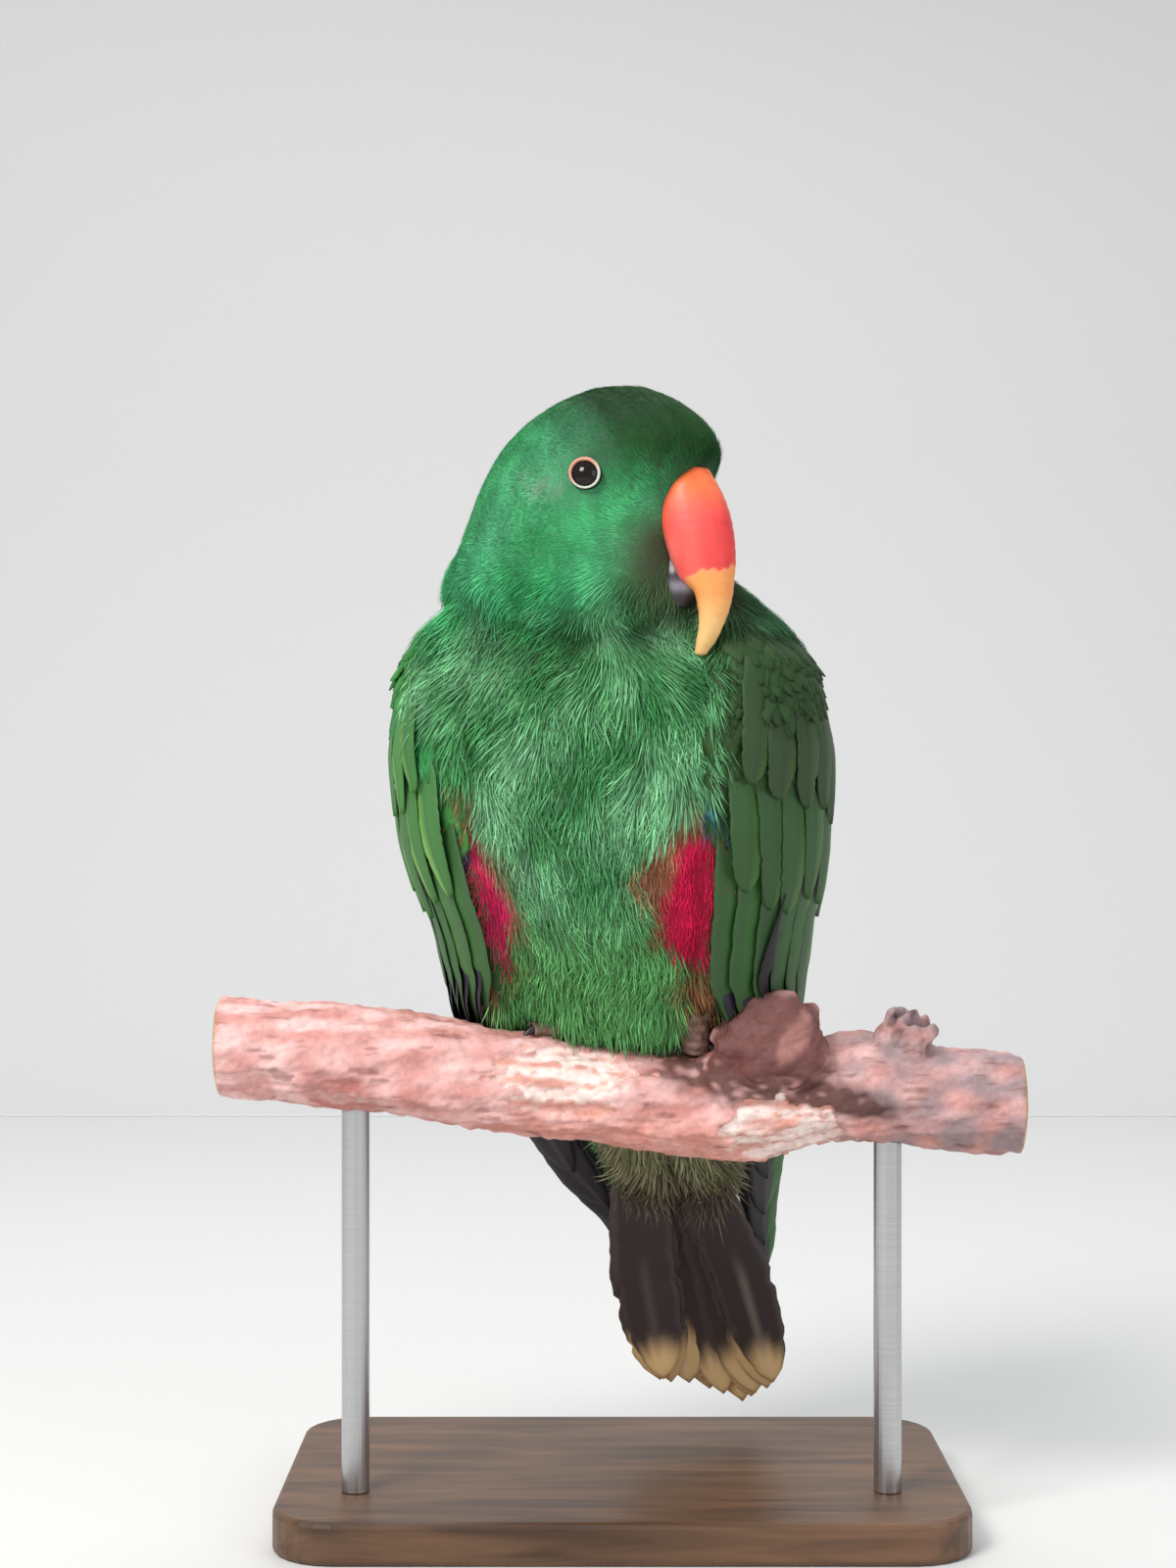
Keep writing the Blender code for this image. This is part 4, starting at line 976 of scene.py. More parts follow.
def primary_tint(side, rng):
    """Blackish primary with a green outer edge."""
    tone = rng.uniform(0.85, 1.15)

    def colour(along, across, above):
        ahead = -across * side
        base = np.broadcast_to(QUILL_DARK * tone, (len(along), 3))
        base = mix(base, NAVY, 0.12 * step(-along, -0.5, -0.3))
        # On the bird's left wing, away from the light, the edge takes a darker green and no lime: painted shade.
        edge = (WING_GREEN_PAINTED_SHADE if side > 0 else 0.6 * WING_GREEN + 0.4 * WING_LIME) * tone
        reach = 1.0 if side > 0 else 1.0 - step(along, 0.34, 0.46)
        base = mix(base, edge, step(ahead, 0.25, 0.5) * reach * (0.95 if above else 0.5))
        return mix(base, linear(120, 116, 110), 0.25 * np.exp(-((across / 0.04) ** 2)))
    return colour


def wing_tint(side, low, lead, painted_shade, rng):
    """Green vane with a lime leading edge and painted shade on the web hidden under its neighbour; on the bird's left
    wing, away from the light, a darker green, also painted shade.
    """
    tone = rng.uniform(0.88, 1.14)
    green = WING_GREEN_PAINTED_SHADE + (GREEN_DEEP_PAINTED_SHADE - WING_GREEN_PAINTED_SHADE) * painted_shade if side > 0 else WING_GREEN

    def colour(along, across, above):
        ahead = -across * side
        base = np.broadcast_to(green * tone, (len(along), 3))
        base = mix(base, WING_LIME * tone, lead * step(ahead + 0.3 * along, 0.2, 1.1))
        # Dark towards the web hidden under the next vane: painted shade.
        base = mix(base, QUILL_DARK, low * step(-ahead, -0.1, 0.6))
        base = mix(base, QUILL_DARK, 0.3 * np.exp(-((across / 0.05) ** 2)) * step(along, 0.1, 0.4))
        if not above:
            base = mix(base, QUILL_DARK, np.full(len(along), 0.85))
        return base
    return colour


def make_wing(side):
    """Primaries, secondaries and the larger coverts of a folded wing."""
    name = "wing_left_quills" if side > 0 else "wing_right_quills"
    rng = random.Random(20 + side)
    plumes = Plumes(60)
    # Lime edges kept faint on the bird's left wing, away from the light: painted shade.
    lead = 0.16 if side > 0 else 0.9
    start = 0.05 if side > 0 else 0.045
    tips = (108.0, 94.0, 82.0, 72.0, 65.0, 65.0, 74.0, 84.0)
    for i, tip in enumerate(tips):
        u = i / (len(tips) - 1)
        spread = 0.62 * i - 2.2
        over = 1.1 if side > 0 else 2.3
        rises = [over + 0.05 * i, over + 0.05 * i, 0.4 * over + 0.6 * spread, spread, spread, spread]
        path, face = wing_path(side, (0.06 + 0.40 * u, 0.22 + 0.50 * u), (172.0, tip), rises,
                               1.0 if side > 0 else 1.9)
        plumes.add(path, face, 9.2 if side > 0 else 8.0, 0.0, rng, primary_tint(side, rng), splits=2)
    point = 0.15 if side > 0 else 0.45
    tuck = 0.0 if side > 0 else 0.05
    # Each tier: count, root and tip shares, root and tip heights, half width, sink at root and tip, share of painted
    # shade on the hidden web, lime edge, and share of painted shade on the bird's left wing.
    tiers = (
        (15, (0.0, 0.95), (0.0, 0.86), (206.0, 212.0), (134.0, 150.0), 6.6, 4.2, 1.1, 0.45, lead, 0.0),
        (13, (0.02 + tuck, 0.96), (0.01, 0.94), (230.0, 234.0), (182.0, 170.0), 6.6, 3.9, 0.7, 0.2, 0.6 * lead, 0.35),
        (12, (0.03 + tuck, 0.94), (0.02 + tuck, 0.94), (246.0, 248.0), (212.0, 200.0), 6.4, 3.4, 0.3, 0.0, 0.35 * lead, 0.8),
    )
    for count, roots, ends, root_heights, tip_heights, half, root_sink, tip_sink, low, edge, painted_shade in tiers:
        for i in range(count):
            u = i / (count - 1)
            shares = [a + (b - a) * u + start * (1 - u) + rng.uniform(-0.01, 0.01) for a, b in (roots, ends)]
            heights = [a + (b - a) * u + rng.uniform(-5.5, 5.5) for a, b in (root_heights, tip_heights)]
            rises = []
            for k in range(8):
                z = heights[0] + (heights[1] - heights[0]) * k / 7
                rises.append(wing_rise(z) - root_sink - (tip_sink - root_sink) * min(1.0, 1.6 * k / 7)
                             - 3.0 * (1 - min(1.0, 8 * max(0.02, shares[0])) ** 0.5) * (side > 0) * (1 - k / 7)
                             - 3.4 * max(0.0, (u - 0.75) / 0.25) ** 2)
            path, face = wing_path(side, shares, heights, rises)
            lime = edge * (1.0 - 0.75 * float(step(u, 0.15, 0.45)))
            plumes.add(path, face, half * rng.uniform(0.92, 1.08), -side * 0.55, rng,
                       wing_tint(side, low, lime, painted_shade, rng), splits=5, point=point)
    # A narrow, nearly black vane low on the front of the bird's left wing: a sheet of painted shadow where only shade
    # falls.
    if side > 0:
        path, face = wing_path(side, (0.134, 0.170), (138.0, 184.0),
                               [wing_rise(z) + 0.1 for z in (138.0, 150.0, 161.0, 172.0, 184.0)])
        plumes.add(path, face, 3.5, 0.0, rng, covert_tint(0.45 * QUILL_DARK, 0.5 * QUILL_DARK), point=0.9)
    made = plumes.build(name, QUILL)
    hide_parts("wing_left" if side > 0 else "wing_right")
    return made


def covert_tint(base, tip):
    def colour(along, across, above):
        return mix(np.broadcast_to(base, (len(along), 3)), tip, step(along, 0.5, 1.0))
    return colour


def on_tail(z, aside, before):
    """Points by the tail's middle line, set aside to the bird's left and to the front."""
    line = rows_at(TAIL_LINE, z)
    yaw = math.radians(BODY_YAW)
    return (np.stack([line[..., 1], line[..., 2], np.asarray(z, float)], -1)
            + np.multiply.outer(aside, (math.cos(yaw), math.sin(yaw), 0.0))
            + np.multiply.outer(before, (math.sin(yaw), -math.cos(yaw), 0.0)))


def tail_tint(rng):
    """Dark below and green above, fading to a tan tip."""
    tone = rng.uniform(0.85, 1.15)
    edge = rng.uniform(0.76, 0.86)
    pale_shaft = rng.choice((0.10, 0.15, 0.22))

    def colour(along, across, above):
        ragged = 0.012 * np.sin(11 * across + 5 * tone) + 0.010 * np.sin(27 * across + 9 * tone)
        fade = step(along + ragged - 0.05 * across**2, edge - 0.05, edge + 0.07)
        shaft = np.exp(-((across / 0.03) ** 2)) * step(along, 0.45, 0.6)
        base = np.broadcast_to(TAIL_BROWN * tone, (len(along), 3))
        base = mix(base, linear(112, 100, 96), 0.35 * step(np.abs(across), 0.8, 1.0))
        if not above:
            base = mix(np.broadcast_to(WING_GREEN, (len(along), 3)), NAVY, step(along, 0.45, 0.8))
        base = mix(base, TAIL_TAN * tone, fade * 0.95)
        return mix(base, linear(196, 186, 170), pale_shaft * shaft)
    return colour


def make_tail():
    """Twelve overlapping tail feathers, dark below and green above, with tan tips."""
    rng = random.Random(31)
    plumes = Plumes(24)
    order = (5, 7, 4, 8, 6, 3, 9, 2, 10, 1, 0, 11)
    for layer, i in enumerate(order):
        q = 2.0 * i / 11 - 1.0
        depth = 0.62 * (layer - 5.5)
        tip = 27.5 - 6.0 * math.exp(-((q - 0.35) / 0.4) ** 2) + 2.0 * max(0.0, abs(q) - 0.7) / 0.3
        tip += rng.uniform(-1.2, 1.2)
        u = np.linspace(0, 1, VANE_ROWS)
        z = 110.0 + (tip - 110.0) * u
        sway = rng.uniform(-1.6, 1.6)
        reach = 0.86 if layer > 9 else 1.0
        aside = q * reach * np.interp(u, [0.0, 0.55, 1.0], [7.5, 17.8, 20.2]) + sway * np.sin(1.6 * u)
        path = on_tail(z, aside, depth * np.interp(u, [0.0, 0.35, 1.0], [0.35, 1.0, 1.0]))
        face = np.tile(on_tail(100.0, 0.0, 1.0) - on_tail(100.0, 0.0, 0.0), (VANE_ROWS, 1))
        plumes.add(path, face, rng.uniform(9.0, 10.4), rng.uniform(-0.3, 0.3), rng, tail_tint(rng),
                   splits=6, fray=0.09)
    made = plumes.build("tail_quills", QUILL)
    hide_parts("tail")
    return made


def make_tail_coverts():
    """Green coverts over the tail's root."""
    rng = random.Random(33)
    plumes = Plumes(40)
    forward = np.tile(on_tail(100.0, 0.0, 1.0) - on_tail(100.0, 0.0, 0.0), (VANE_ROWS, 1))
    u = np.linspace(0, 1, VANE_ROWS)
    soft_tip = 0.7 * WING_GREEN + 0.3 * WING_LIME
    for i in range(21):
        q = (i % 7) / 3.0 - 1.0
        tier = i // 7
        tip = 82.0 + 9.0 * tier + rng.uniform(-5.0, 5.0) + 4.0 * abs(q)
        z = 121.0 + (tip - 121.0) * u
        before = -np.interp(u, [0, 0.3, 1], [4.0, 9.0, 8.6]) - 0.8 * tier - 0.3 * (i % 2)
        aside = 16.0 * q * (0.7 + 0.3 * u) + rng.uniform(-1.5, 1.5)
        plumes.add(on_tail(z, aside, before), -forward, rng.uniform(4.8, 6.0), 0.2, rng,
                   covert_tint(WING_GREEN, soft_tip), splits=5, point=0.3)
    return plumes.build("tail_coverts", QUILL)


# Bill, eyes and feet


def bill_half(name, table, rows, sides, relief):
    """Half of the bill from level slices, round in front and flatter behind."""
    z = np.linspace(table[0][0], table[-1][0], rows)
    _, back, front, half = rows_at(table, z).T
    middle = back + 0.45 * (front - back)
    turn = np.linspace(0, 2 * math.pi, sides, endpoint=False)
    ahead = np.where(np.cos(turn) > 0, (front - middle)[:, None], (middle - back)[:, None])
    forward = middle[:, None] + ahead * np.cos(turn)
    left = half[:, None] * np.sin(turn) * (1 - 0.10 * np.maximum(0, np.cos(turn)) ** 3)
    forward, left = relief(forward, left, z[:, None], turn[None])
    yaw = math.radians(HEAD_YAW)
    points = np.stack([HEAD_CENTRE[0] + forward * math.sin(yaw) + left * math.cos(yaw),
                       HEAD_CENTRE[1] - forward * math.cos(yaw) + left * math.sin(yaw),
                       np.broadcast_to(z[:, None], forward.shape)], -1)
    faces = grid_faces(rows, sides, True).tolist()
    middles = [points[0].mean(0) - (0, 0, 0.5), points[-1].mean(0) + (0, 0, 0.5)]
    count = rows * sides
    for j in range(sides):
        n = (j + 1) % sides
        faces.append((n, j, count))
        faces.append((count - sides + j, count - sides + n, count + 1))
    mesh = mesh_of(name, np.vstack([points.reshape(-1, 3), middles]), faces)
    return outward(mesh)


def make_bill():
    """Coral and yellow upper bill over a blackish lower one."""
    def upper_relief(forward, left, z, turn):
        groove = 0.10 * np.sin(z * 1.9 + 2 * np.cos(turn)) * np.abs(np.sin(turn))
        return forward + 0.05 * np.sin(z * 2.3), left * (1 + 0.01 * groove)

    def lower_relief(forward, left, z, turn):
        return forward + 0.0 * turn + 0.0 * z, left + 0.0 * z

    upper = bill_half("bill_upper_horn", BILL_UPPER, 110, 72, upper_relief)
    points, _ = points_of(upper)
    z = points[:, 2]
    wide, high = seen_at(points)
    yaw = math.radians(HEAD_YAW)
    forward = (points[:, 0] - HEAD_CENTRE[0]) * math.sin(yaw) - (points[:, 1] - HEAD_CENTRE[1]) * math.cos(yaw)
    left = (points[:, 0] - HEAD_CENTRE[0]) * math.cos(yaw) + (points[:, 1] - HEAD_CENTRE[1]) * math.sin(yaw)
    coral = mix(np.broadcast_to(linear(250, 92, 84), points.shape), linear(232, 58, 58), step(forward, 32.0, 39.0))
    coral = mix(coral, linear(248, 116, 62), step(z, 284.0, 297.0))
    coral = mix(coral, linear(250, 110, 66), 0.7 * step(-forward, -27.0, -21.0) * step(z, 276.0, 286.0))
    horn = mix(np.broadcast_to(linear(244, 156, 84), points.shape), linear(248, 198, 128), step(-z, -268.0, -253.0))
    border = 269.8 + 0.35 * (forward - 33.0) + 0.7 * np.sin(left * 0.75 + 1.0) + 0.35 * np.sin(left * 1.9 + forward)
    below = step(border - z, -0.4, 0.4)
    pale = np.exp(-((border - z) / 0.4) ** 2)
    coral = mix(coral, linear(252, 140, 136), 0.55 * step(-forward, -30.0, -24.0) * step(-z, -284.0, -276.0))
    coral = coral * (1 + 0.05 * waves(points * (1, 1, 0.25), 2.6, 56))[:, None]
    colour = mix(mix(coral, horn, below), linear(254, 176, 118), 0.6 * pale)
    put(upper, "tint", colour)
    piece = object_of("bill_upper_horn", upper, tinted_finish("coral horn", 0.48, 260.0, 0.07, 0.00012, Coat_Weight=0.05))
    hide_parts("bill_upper")
    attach(piece, "root")
    lower = bill_half("bill_lower_horn", BILL_LOWER, 40, 56, lower_relief)
    points, _ = points_of(lower)
    # Blackish lower bill with a pale grey band across it: painted highlight.
    put(lower, "tint", mix(np.broadcast_to(linear(44, 40, 46), points.shape), linear(142, 134, 148),
                           bump(points[:, 2], 267.5, 1.6)))
    piece = object_of("bill_lower_horn", lower, tinted_finish("dark horn", 0.3, 300.0, 0.15, 0.00012))
    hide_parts("bill_lower")
    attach(piece, "root")


def eye_place(side):
    """Point on the plumage over the eye, and the way the eye looks."""
    row = rows_at(BODY, EYE_HEIGHT)
    half, front = row[3], row[4]
    across = half * math.sqrt(1.0 - (EYE_FORWARD / front) ** 2)
    yaw = math.radians(HEAD_YAW)
    ahead = np.array([math.sin(yaw), -math.cos(yaw), 0.0])
    aside = np.array([math.cos(yaw), math.sin(yaw), 0.0])
    look = EYE_FORWARD / front**2 * ahead + side * across / half**2 * aside
    look = look / np.linalg.norm(look) + (0.0, 0.0, 0.12)
    return on_head(EYE_FORWARD, side * across, EYE_HEIGHT), look / np.linalg.norm(look)


def make_eyes():
    """Nearly black eyes set in bare lids, pinkish orange above and pale below."""
    glass, nodes, links, shader = new_finish("dark eye", 0.05, Specular_IOR_Level=0.32)
    place = nodes.new("ShaderNodeTexCoord")
    noise = nodes.new("ShaderNodeTexNoise")
    noise.inputs["Scale"].default_value = 400.0
    links.new(place.outputs["Object"], noise.inputs["Vector"])
    ramp = nodes.new("ShaderNodeValToRGB")
    ramp.color_ramp.elements[0].color = (0.004, 0.003, 0.003, 1)
    ramp.color_ramp.elements[1].color = (0.010, 0.007, 0.005, 1)
    links.new(noise.outputs["Fac"], ramp.inputs["Fac"])
    links.new(ramp.outputs["Color"], shader.inputs["Base Color"])
    lid_skin = tinted_finish("bare lid", 0.55, 900.0, 0.18, 0.0001)
    for side, word in ((-1, "right"), (1, "left")):
        spot, look = eye_place(side)
        mesh = bpy.data.meshes.new("ball")
        work = bmesh.new()
        bmesh.ops.create_uvsphere(work, u_segments=48, v_segments=32, radius=EYE_RADIUS * MM)
        work.to_mesh(mesh)
        work.free()
        mesh.transform(Vector(look).to_track_quat("Z", "Y").to_matrix().to_4x4())
        points, _ = points_of(mesh)
        points += spot - (EYE_RADIUS - EYE_SHOWS) * look
        mesh.vertices.foreach_set("co", (points * MM).astype(np.float32).ravel())
        mesh.shade_smooth()
        ball = object_of(f"eye_{word}_ball", mesh, glass)
        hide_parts(f"eye_{word}")
        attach(ball, "root")
        around_eye = np.linspace(0, 2 * math.pi, 64, endpoint=False)
        lean = np.linspace(0, 2 * math.pi, 20, endpoint=False)
        across = np.cross(look, (0, 0, 1.0))
        across /= np.linalg.norm(across)
        up = np.cross(across, look)
        t, s = np.meshgrid(around_eye, lean, indexing="ij")
        out = np.cos(t)[..., None] * across + np.sin(t)[..., None] * up
        grain = 1 + 0.10 * np.sin(23 * t) * np.cos(s) + 0.05 * np.sin(41 * t + 2 * s)
        thick = (0.40 + 0.10 * np.sin(t)) * grain
        reach = 3.9 + 0.1 * np.sin(2 * t) + thick * np.cos(s)
        ring = spot + (reach[..., None] * out) + ((0.9 * thick * np.sin(s) + 0.18)[..., None] * look)
        faces = grid_faces(64, 20, True).tolist()
        faces += [(63 * 20 + i, 63 * 20 + (i + 1) % 20, (i + 1) % 20, i) for i in range(20)]
        mesh = outward(mesh_of("lid", ring, faces))
        points, _ = points_of(mesh)
        tone = step(points[:, 2] - spot[2] + 0.7 * side * (points[:, 0] - spot[0]), -3.2, 3.0)
        put(mesh, "tint", mix(np.broadcast_to(linear(196, 200, 184), points.shape), linear(208, 140, 114), tone))
        lid = object_of(f"lid_{word}", mesh, lid_skin)
        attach(lid, "root")


def make_feet():
    """Scaly toes with dark claws round the top of the perch."""
    scaly = tinted_finish("scaly foot", 0.55, 700.0, 0.35, 0.0002)
    horn = tinted_finish("claw horn", 0.35, 500.0, 0.2, 0.0001)
    for x, word in zip(FOOT_PLACES, ("right", "left")):
        z, radius = rows_at(PERCH, x)[1:]
        top = z + radius
        skins, claws = [], []
        fore = -9.0 if x > 0 else 2.0
        path = np.linspace((x, fore, top + 13.0), (x, 0.3 * fore, top + 1.5), 40)
        skins.append(tube_mesh("shank", path, 3.9 + 0.35 * np.abs(np.sin(np.linspace(0, 14, 40))), 20))
        for splay, reach in TOES:
            u = np.linspace(0, 1, 48)
            turn = np.radians((reach if reach < 0 else 0.36 * reach) * u)
            round_perch = radius + 2.5
            path = np.stack([x + splay * u, -round_perch * np.sin(turn), z + round_perch * np.cos(turn)], -1)
            thick = 2.75 * (1.12 - 0.35 * u) * (1 + 0.07 * np.abs(np.sin(u * 30)))
            skins.append(tube_mesh("toe", path, thick, 16))
            way = path[-1] - path[-2]
            way /= np.linalg.norm(way)
            v = np.linspace(0, 1, 14)[:, None]
            hook = path[-1] + way * 4.6 * v + np.array([0, 0, -2.4]) * v**2 - way * 1.2
            claws.append(tube_mesh("claw", hook, 1.75 * (1 - np.linspace(0, 1, 14)) ** 0.7 + 0.08, 12))
        foot = merged(f"foot_{word}_skin", skins)
        points, _ = points_of(foot)
        put(foot, "tint", mix(np.broadcast_to(linear(150, 116, 104), points.shape), linear(92, 68, 60),
                              np.clip(0.5 + 0.4 * waves(points, 2.6, 5), 0, 1)))
        foot.shade_smooth()
        piece = object_of(f"foot_{word}_skin", foot, scaly)
        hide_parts(f"foot_{word}")
        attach(piece, "root")
        nails = merged(f"claws_{word}", claws)
        points, _ = points_of(nails)
        put(nails, "tint", np.broadcast_to(linear(42, 38, 38), points.shape))
        nails.shade_smooth()
        piece = object_of(f"claws_{word}", nails, horn)
        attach(piece, "root")


# Perch and stand


def perch_forms():
    x = np.linspace(-111.0, 118.0, 150)
    turn = np.linspace(0, 2 * math.pi, 64, endpoint=False)
    t, h = np.meshgrid(turn, x)
    _, z, radius = rows_at(PERCH, h).transpose(2, 0, 1)
    swell = 1.0 + 0.03 * np.sin(3 * t + 0.05 * h) + 0.02 * np.sin(5 * t - 0.09 * h)
    notch = -1.6 * step(h, 34.0, 38.0) * step(-h, -70.0, -62.0) * bump(t, 5.35, 0.5)
    reach = radius * swell + notch
    points = np.stack([h, -reach * np.cos(t), z + reach * np.sin(t)], -1)
    faces = grid_faces(len(x), len(turn), True).tolist()
    faces += [list(range(64)), list(range(149 * 64, 150 * 64))]
    forms = [outward(mesh_of("perch", points, faces))]
    for centre, size in KNOBS:
        mesh = bpy.data.meshes.new("knob")
        work = bmesh.new()
        bmesh.ops.create_icosphere(work, subdivisions=5, radius=1.0)
        work.to_mesh(mesh)
        work.free()
        unit, _ = points_of(mesh)
        unit *= MM
        lumps = 1 + 0.07 * waves(unit * 10, 9.0, 21) + 0.03 * waves(unit * 10, 4.0, 22)
        mesh.vertices.foreach_set("co", ((np.array(centre) + unit * size * lumps[:, None]) * MM).astype(np.float32).ravel())
        forms.append(mesh)
    foot, tip = np.array(STUB_FOOT), np.array(STUB_TIP)
    v = np.linspace(0, 1, 24)
    turn = np.linspace(0, 2 * math.pi, 28, endpoint=False)
    radii = np.interp(v, [0, 0.6, 1], [9.5, 8.0, 6.8])[:, None] * (1 + 0.08 * np.sin(3 * turn + 2 * v[:, None])
                                                                  + 0.05 * np.sin(7 * turn))
    forms.append(tube_mesh("stub", foot + (tip - foot) * v[:, None], radii, 28))
    return forms


def make_perch():
    """Peeling bark on a cut length of branch, with its knob and broken stub."""
    mesh = remeshed("perch_bark", perch_forms(), 0.72, 3)
    points, normals = points_of(mesh)
    x, y, z = points.T
    ends = step(-x, 110.0, 110.8) + step(x, 117.0, 117.8)
    rough = 0.40 * waves(points * (0.35, 1, 1), 7.0, 41) + 0.24 * waves(points * (0.4, 1, 1), 3.0, 42)
    rough += 0.12 * waves(points * (0.5, 1, 1), 1.6, 43)
    stub = np.linalg.norm(points - np.array(STUB_TIP), axis=1)
    rough += 1.5 * waves(points, 4.2, 44) * step(-stub, -10.0, -4.0)
    wide, high = seen_at(points)
    front = step(-y, -6.0, 0.0)
    grain = waves(points * (0.3, 1, 1), 4.5, 45)
    flaky = waves(points * (0.5, 1, 1), 2.4, 48)
    peel = step(bump(wide, -7.0, 18.0) * bump(high, -84.0, 9.5) * 1.5 + 0.16 * grain + 0.10 * flaky, 0.5, 0.56)
    notch = step(bump(wide, 55.0, 17.0) * bump(high, -99.0, 8.5) * 1.5 + 0.16 * waves(points, 5.0, 46) + 0.08 * flaky, 0.5, 0.56)
    flakes = step(waves(points * (0.3, 1, 1), 11.0, 47) + 0.5 * grain, 1.45, 1.7)
    pale = np.clip((peel + notch) * front + 0.35 * flakes * step(-wide, -30.0, 0.0), 0, 1)
    rough -= 0.9 * pale
    points = points + normals * (rough * (1 - ends))[:, None]
    mesh.vertices.foreach_set("co", (points * MM).astype(np.float32).ravel())
    streak = np.clip(0.5 + 0.45 * waves(points * (0.25, 1, 1), 5.0, 49), 0, 1)
    colour = mix(np.broadcast_to(linear(238, 190, 186), points.shape), linear(206, 142, 134), streak)
    colour = mix(colour, linear(172, 96, 86), np.clip(0.8 * waves(points * (0.5, 1, 1), 24.0, 54) - 0.3, 0, 0.6))
    colour = mix(colour, linear(240, 160, 140), step(-high, 90.0, 104.0) * 0.5)
    greyish = step(wide, 58.0, 84.0) * np.clip(0.68 + 0.32 * waves(points * (0.5, 1, 1), 9.0, 50), 0, 1)
    colour = mix(colour, linear(156, 132, 134), greyish)
    # Dark mottled band along the perch under the bird: painted shadow cast by the bird.
    middle = np.interp(wide, [10, 48, 75, 92], [-79.0, -84.5, -91.0, -95.0])
    bird_shadow_band = bump(high, middle, np.interp(wide, [10, 40, 60, 92], [3.0, 7.5, 6.0, 3.0])) * front
    bird_shadow_band = bird_shadow_band * step(wide, 6.0, 34.0) * step(-wide, -98.0, -76.0) * (1.25 + 0.35 * flaky + 0.3 * grain)
    colour = mix(colour, linear(82, 42, 36), np.clip(bird_shadow_band, 0, 1) * 0.92)
    knob = step(-np.linalg.norm((points - np.array(KNOBS[0][0])) / (17.5, 16, 17), axis=1), -1.05, -0.9) * step(z, 129.0, 135.0)
    colour = mix(colour, mix(np.broadcast_to(linear(104, 58, 54), points.shape), linear(158, 106, 98),
                             step(waves(points * (1, 1, 0.7), 12.0, 51), 0.4, 1.4)), knob * 0.95)
    peeled = mix(np.broadcast_to(linear(250, 226, 218), points.shape), linear(218, 156, 142),
                 np.clip(0.6 * grain + step(flaky, 0.6, 0.9) * 0.7, 0, 1))
    colour = mix(colour, peeled, pale * (1 - 0.75 * knob))
    cracks = step(-waves(points * (0.12, 1, 1), 2.4, 52), 1.1, 1.5)
    colour = mix(colour, linear(120, 66, 56), 0.5 * cracks * (1 - 0.6 * pale))
    # Darker in the low places of the broken stub: painted shade.
    stub_hollow_shade = step(-waves(points, 4.2, 44), 0.1, 0.8) * step(-stub, -12.0, -6.0)
    colour = mix(colour, linear(58, 32, 28), 0.75 * stub_hollow_shade)
    rings = 0.5 + 0.5 * np.sin(4.2 * np.hypot(y, z - rows_at(PERCH, x)[:, 1]) + waves(points, 14.0, 53))
    wood = mix(np.broadcast_to(linear(214, 178, 132), points.shape), linear(176, 132, 88), rings)
    colour = mix(colour, wood, np.clip(ends, 0, 1))
    put(mesh, "tint", colour)
    piece = object_of("perch_bark", mesh, tinted_finish("peeling bark", 0.62, 420.0, 0.16, 0.0008))
    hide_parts("perch")
    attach(piece, "root")


def finish_stand():
    """Oiled wood on the base and brushed steel on the rods."""
    wood, nodes, links, shader = new_finish("oiled wood", 0.42)
    place = nodes.new("ShaderNodeTexCoord")
    stretch = nodes.new("ShaderNodeMapping")
    stretch.inputs["Scale"].default_value = (6.0, 60.0, 60.0)
    links.new(place.outputs["Object"], stretch.inputs["Vector"])
    grain = nodes.new("ShaderNodeTexNoise")
    grain.inputs["Scale"].default_value = 3.0
    grain.inputs["Detail"].default_value = 8.0
    grain.inputs["Distortion"].default_value = 0.6
    links.new(stretch.outputs["Vector"], grain.inputs["Vector"])
    ramp = nodes.new("ShaderNodeValToRGB")
    ramp.color_ramp.elements[0].position = 0.3
    ramp.color_ramp.elements[0].color = (0.055, 0.026, 0.012, 1)
    ramp.color_ramp.elements[1].position = 0.7
    ramp.color_ramp.elements[1].color = (0.17, 0.085, 0.042, 1)
    links.new(grain.outputs["Fac"], ramp.inputs["Fac"])
    links.new(ramp.outputs["Color"], shader.inputs["Base Color"])
    relief = nodes.new("ShaderNodeBump")
    relief.inputs["Strength"].default_value = 0.25
    relief.inputs["Distance"].default_value = 0.0004
    links.new(grain.outputs["Fac"], relief.inputs["Height"])
    links.new(relief.outputs["Normal"], shader.inputs["Normal"])
    steel, nodes, links, shader = new_finish("brushed steel", 0.3, Metallic=1.0)
    place = nodes.new("ShaderNodeTexCoord")
    stretch = nodes.new("ShaderNodeMapping")
    stretch.inputs["Scale"].default_value = (30.0, 30.0, 4000.0)
    links.new(place.outputs["Object"], stretch.inputs["Vector"])
    grain = nodes.new("ShaderNodeTexNoise")
    grain.inputs["Scale"].default_value = 1.0
    links.new(stretch.outputs["Vector"], grain.inputs["Vector"])
    ramp = nodes.new("ShaderNodeValToRGB")
    ramp.color_ramp.elements[0].color = (0.42, 0.42, 0.43, 1)
    ramp.color_ramp.elements[1].color = (0.62, 0.62, 0.63, 1)
    links.new(grain.outputs["Fac"], ramp.inputs["Fac"])
    links.new(ramp.outputs["Color"], shader.inputs["Base Color"])
    for name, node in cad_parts.items():
        if name.startswith("stand_"):
            for slot in node.material_slots:
                slot.material = wood if name == "stand_base" else steel


# Setting


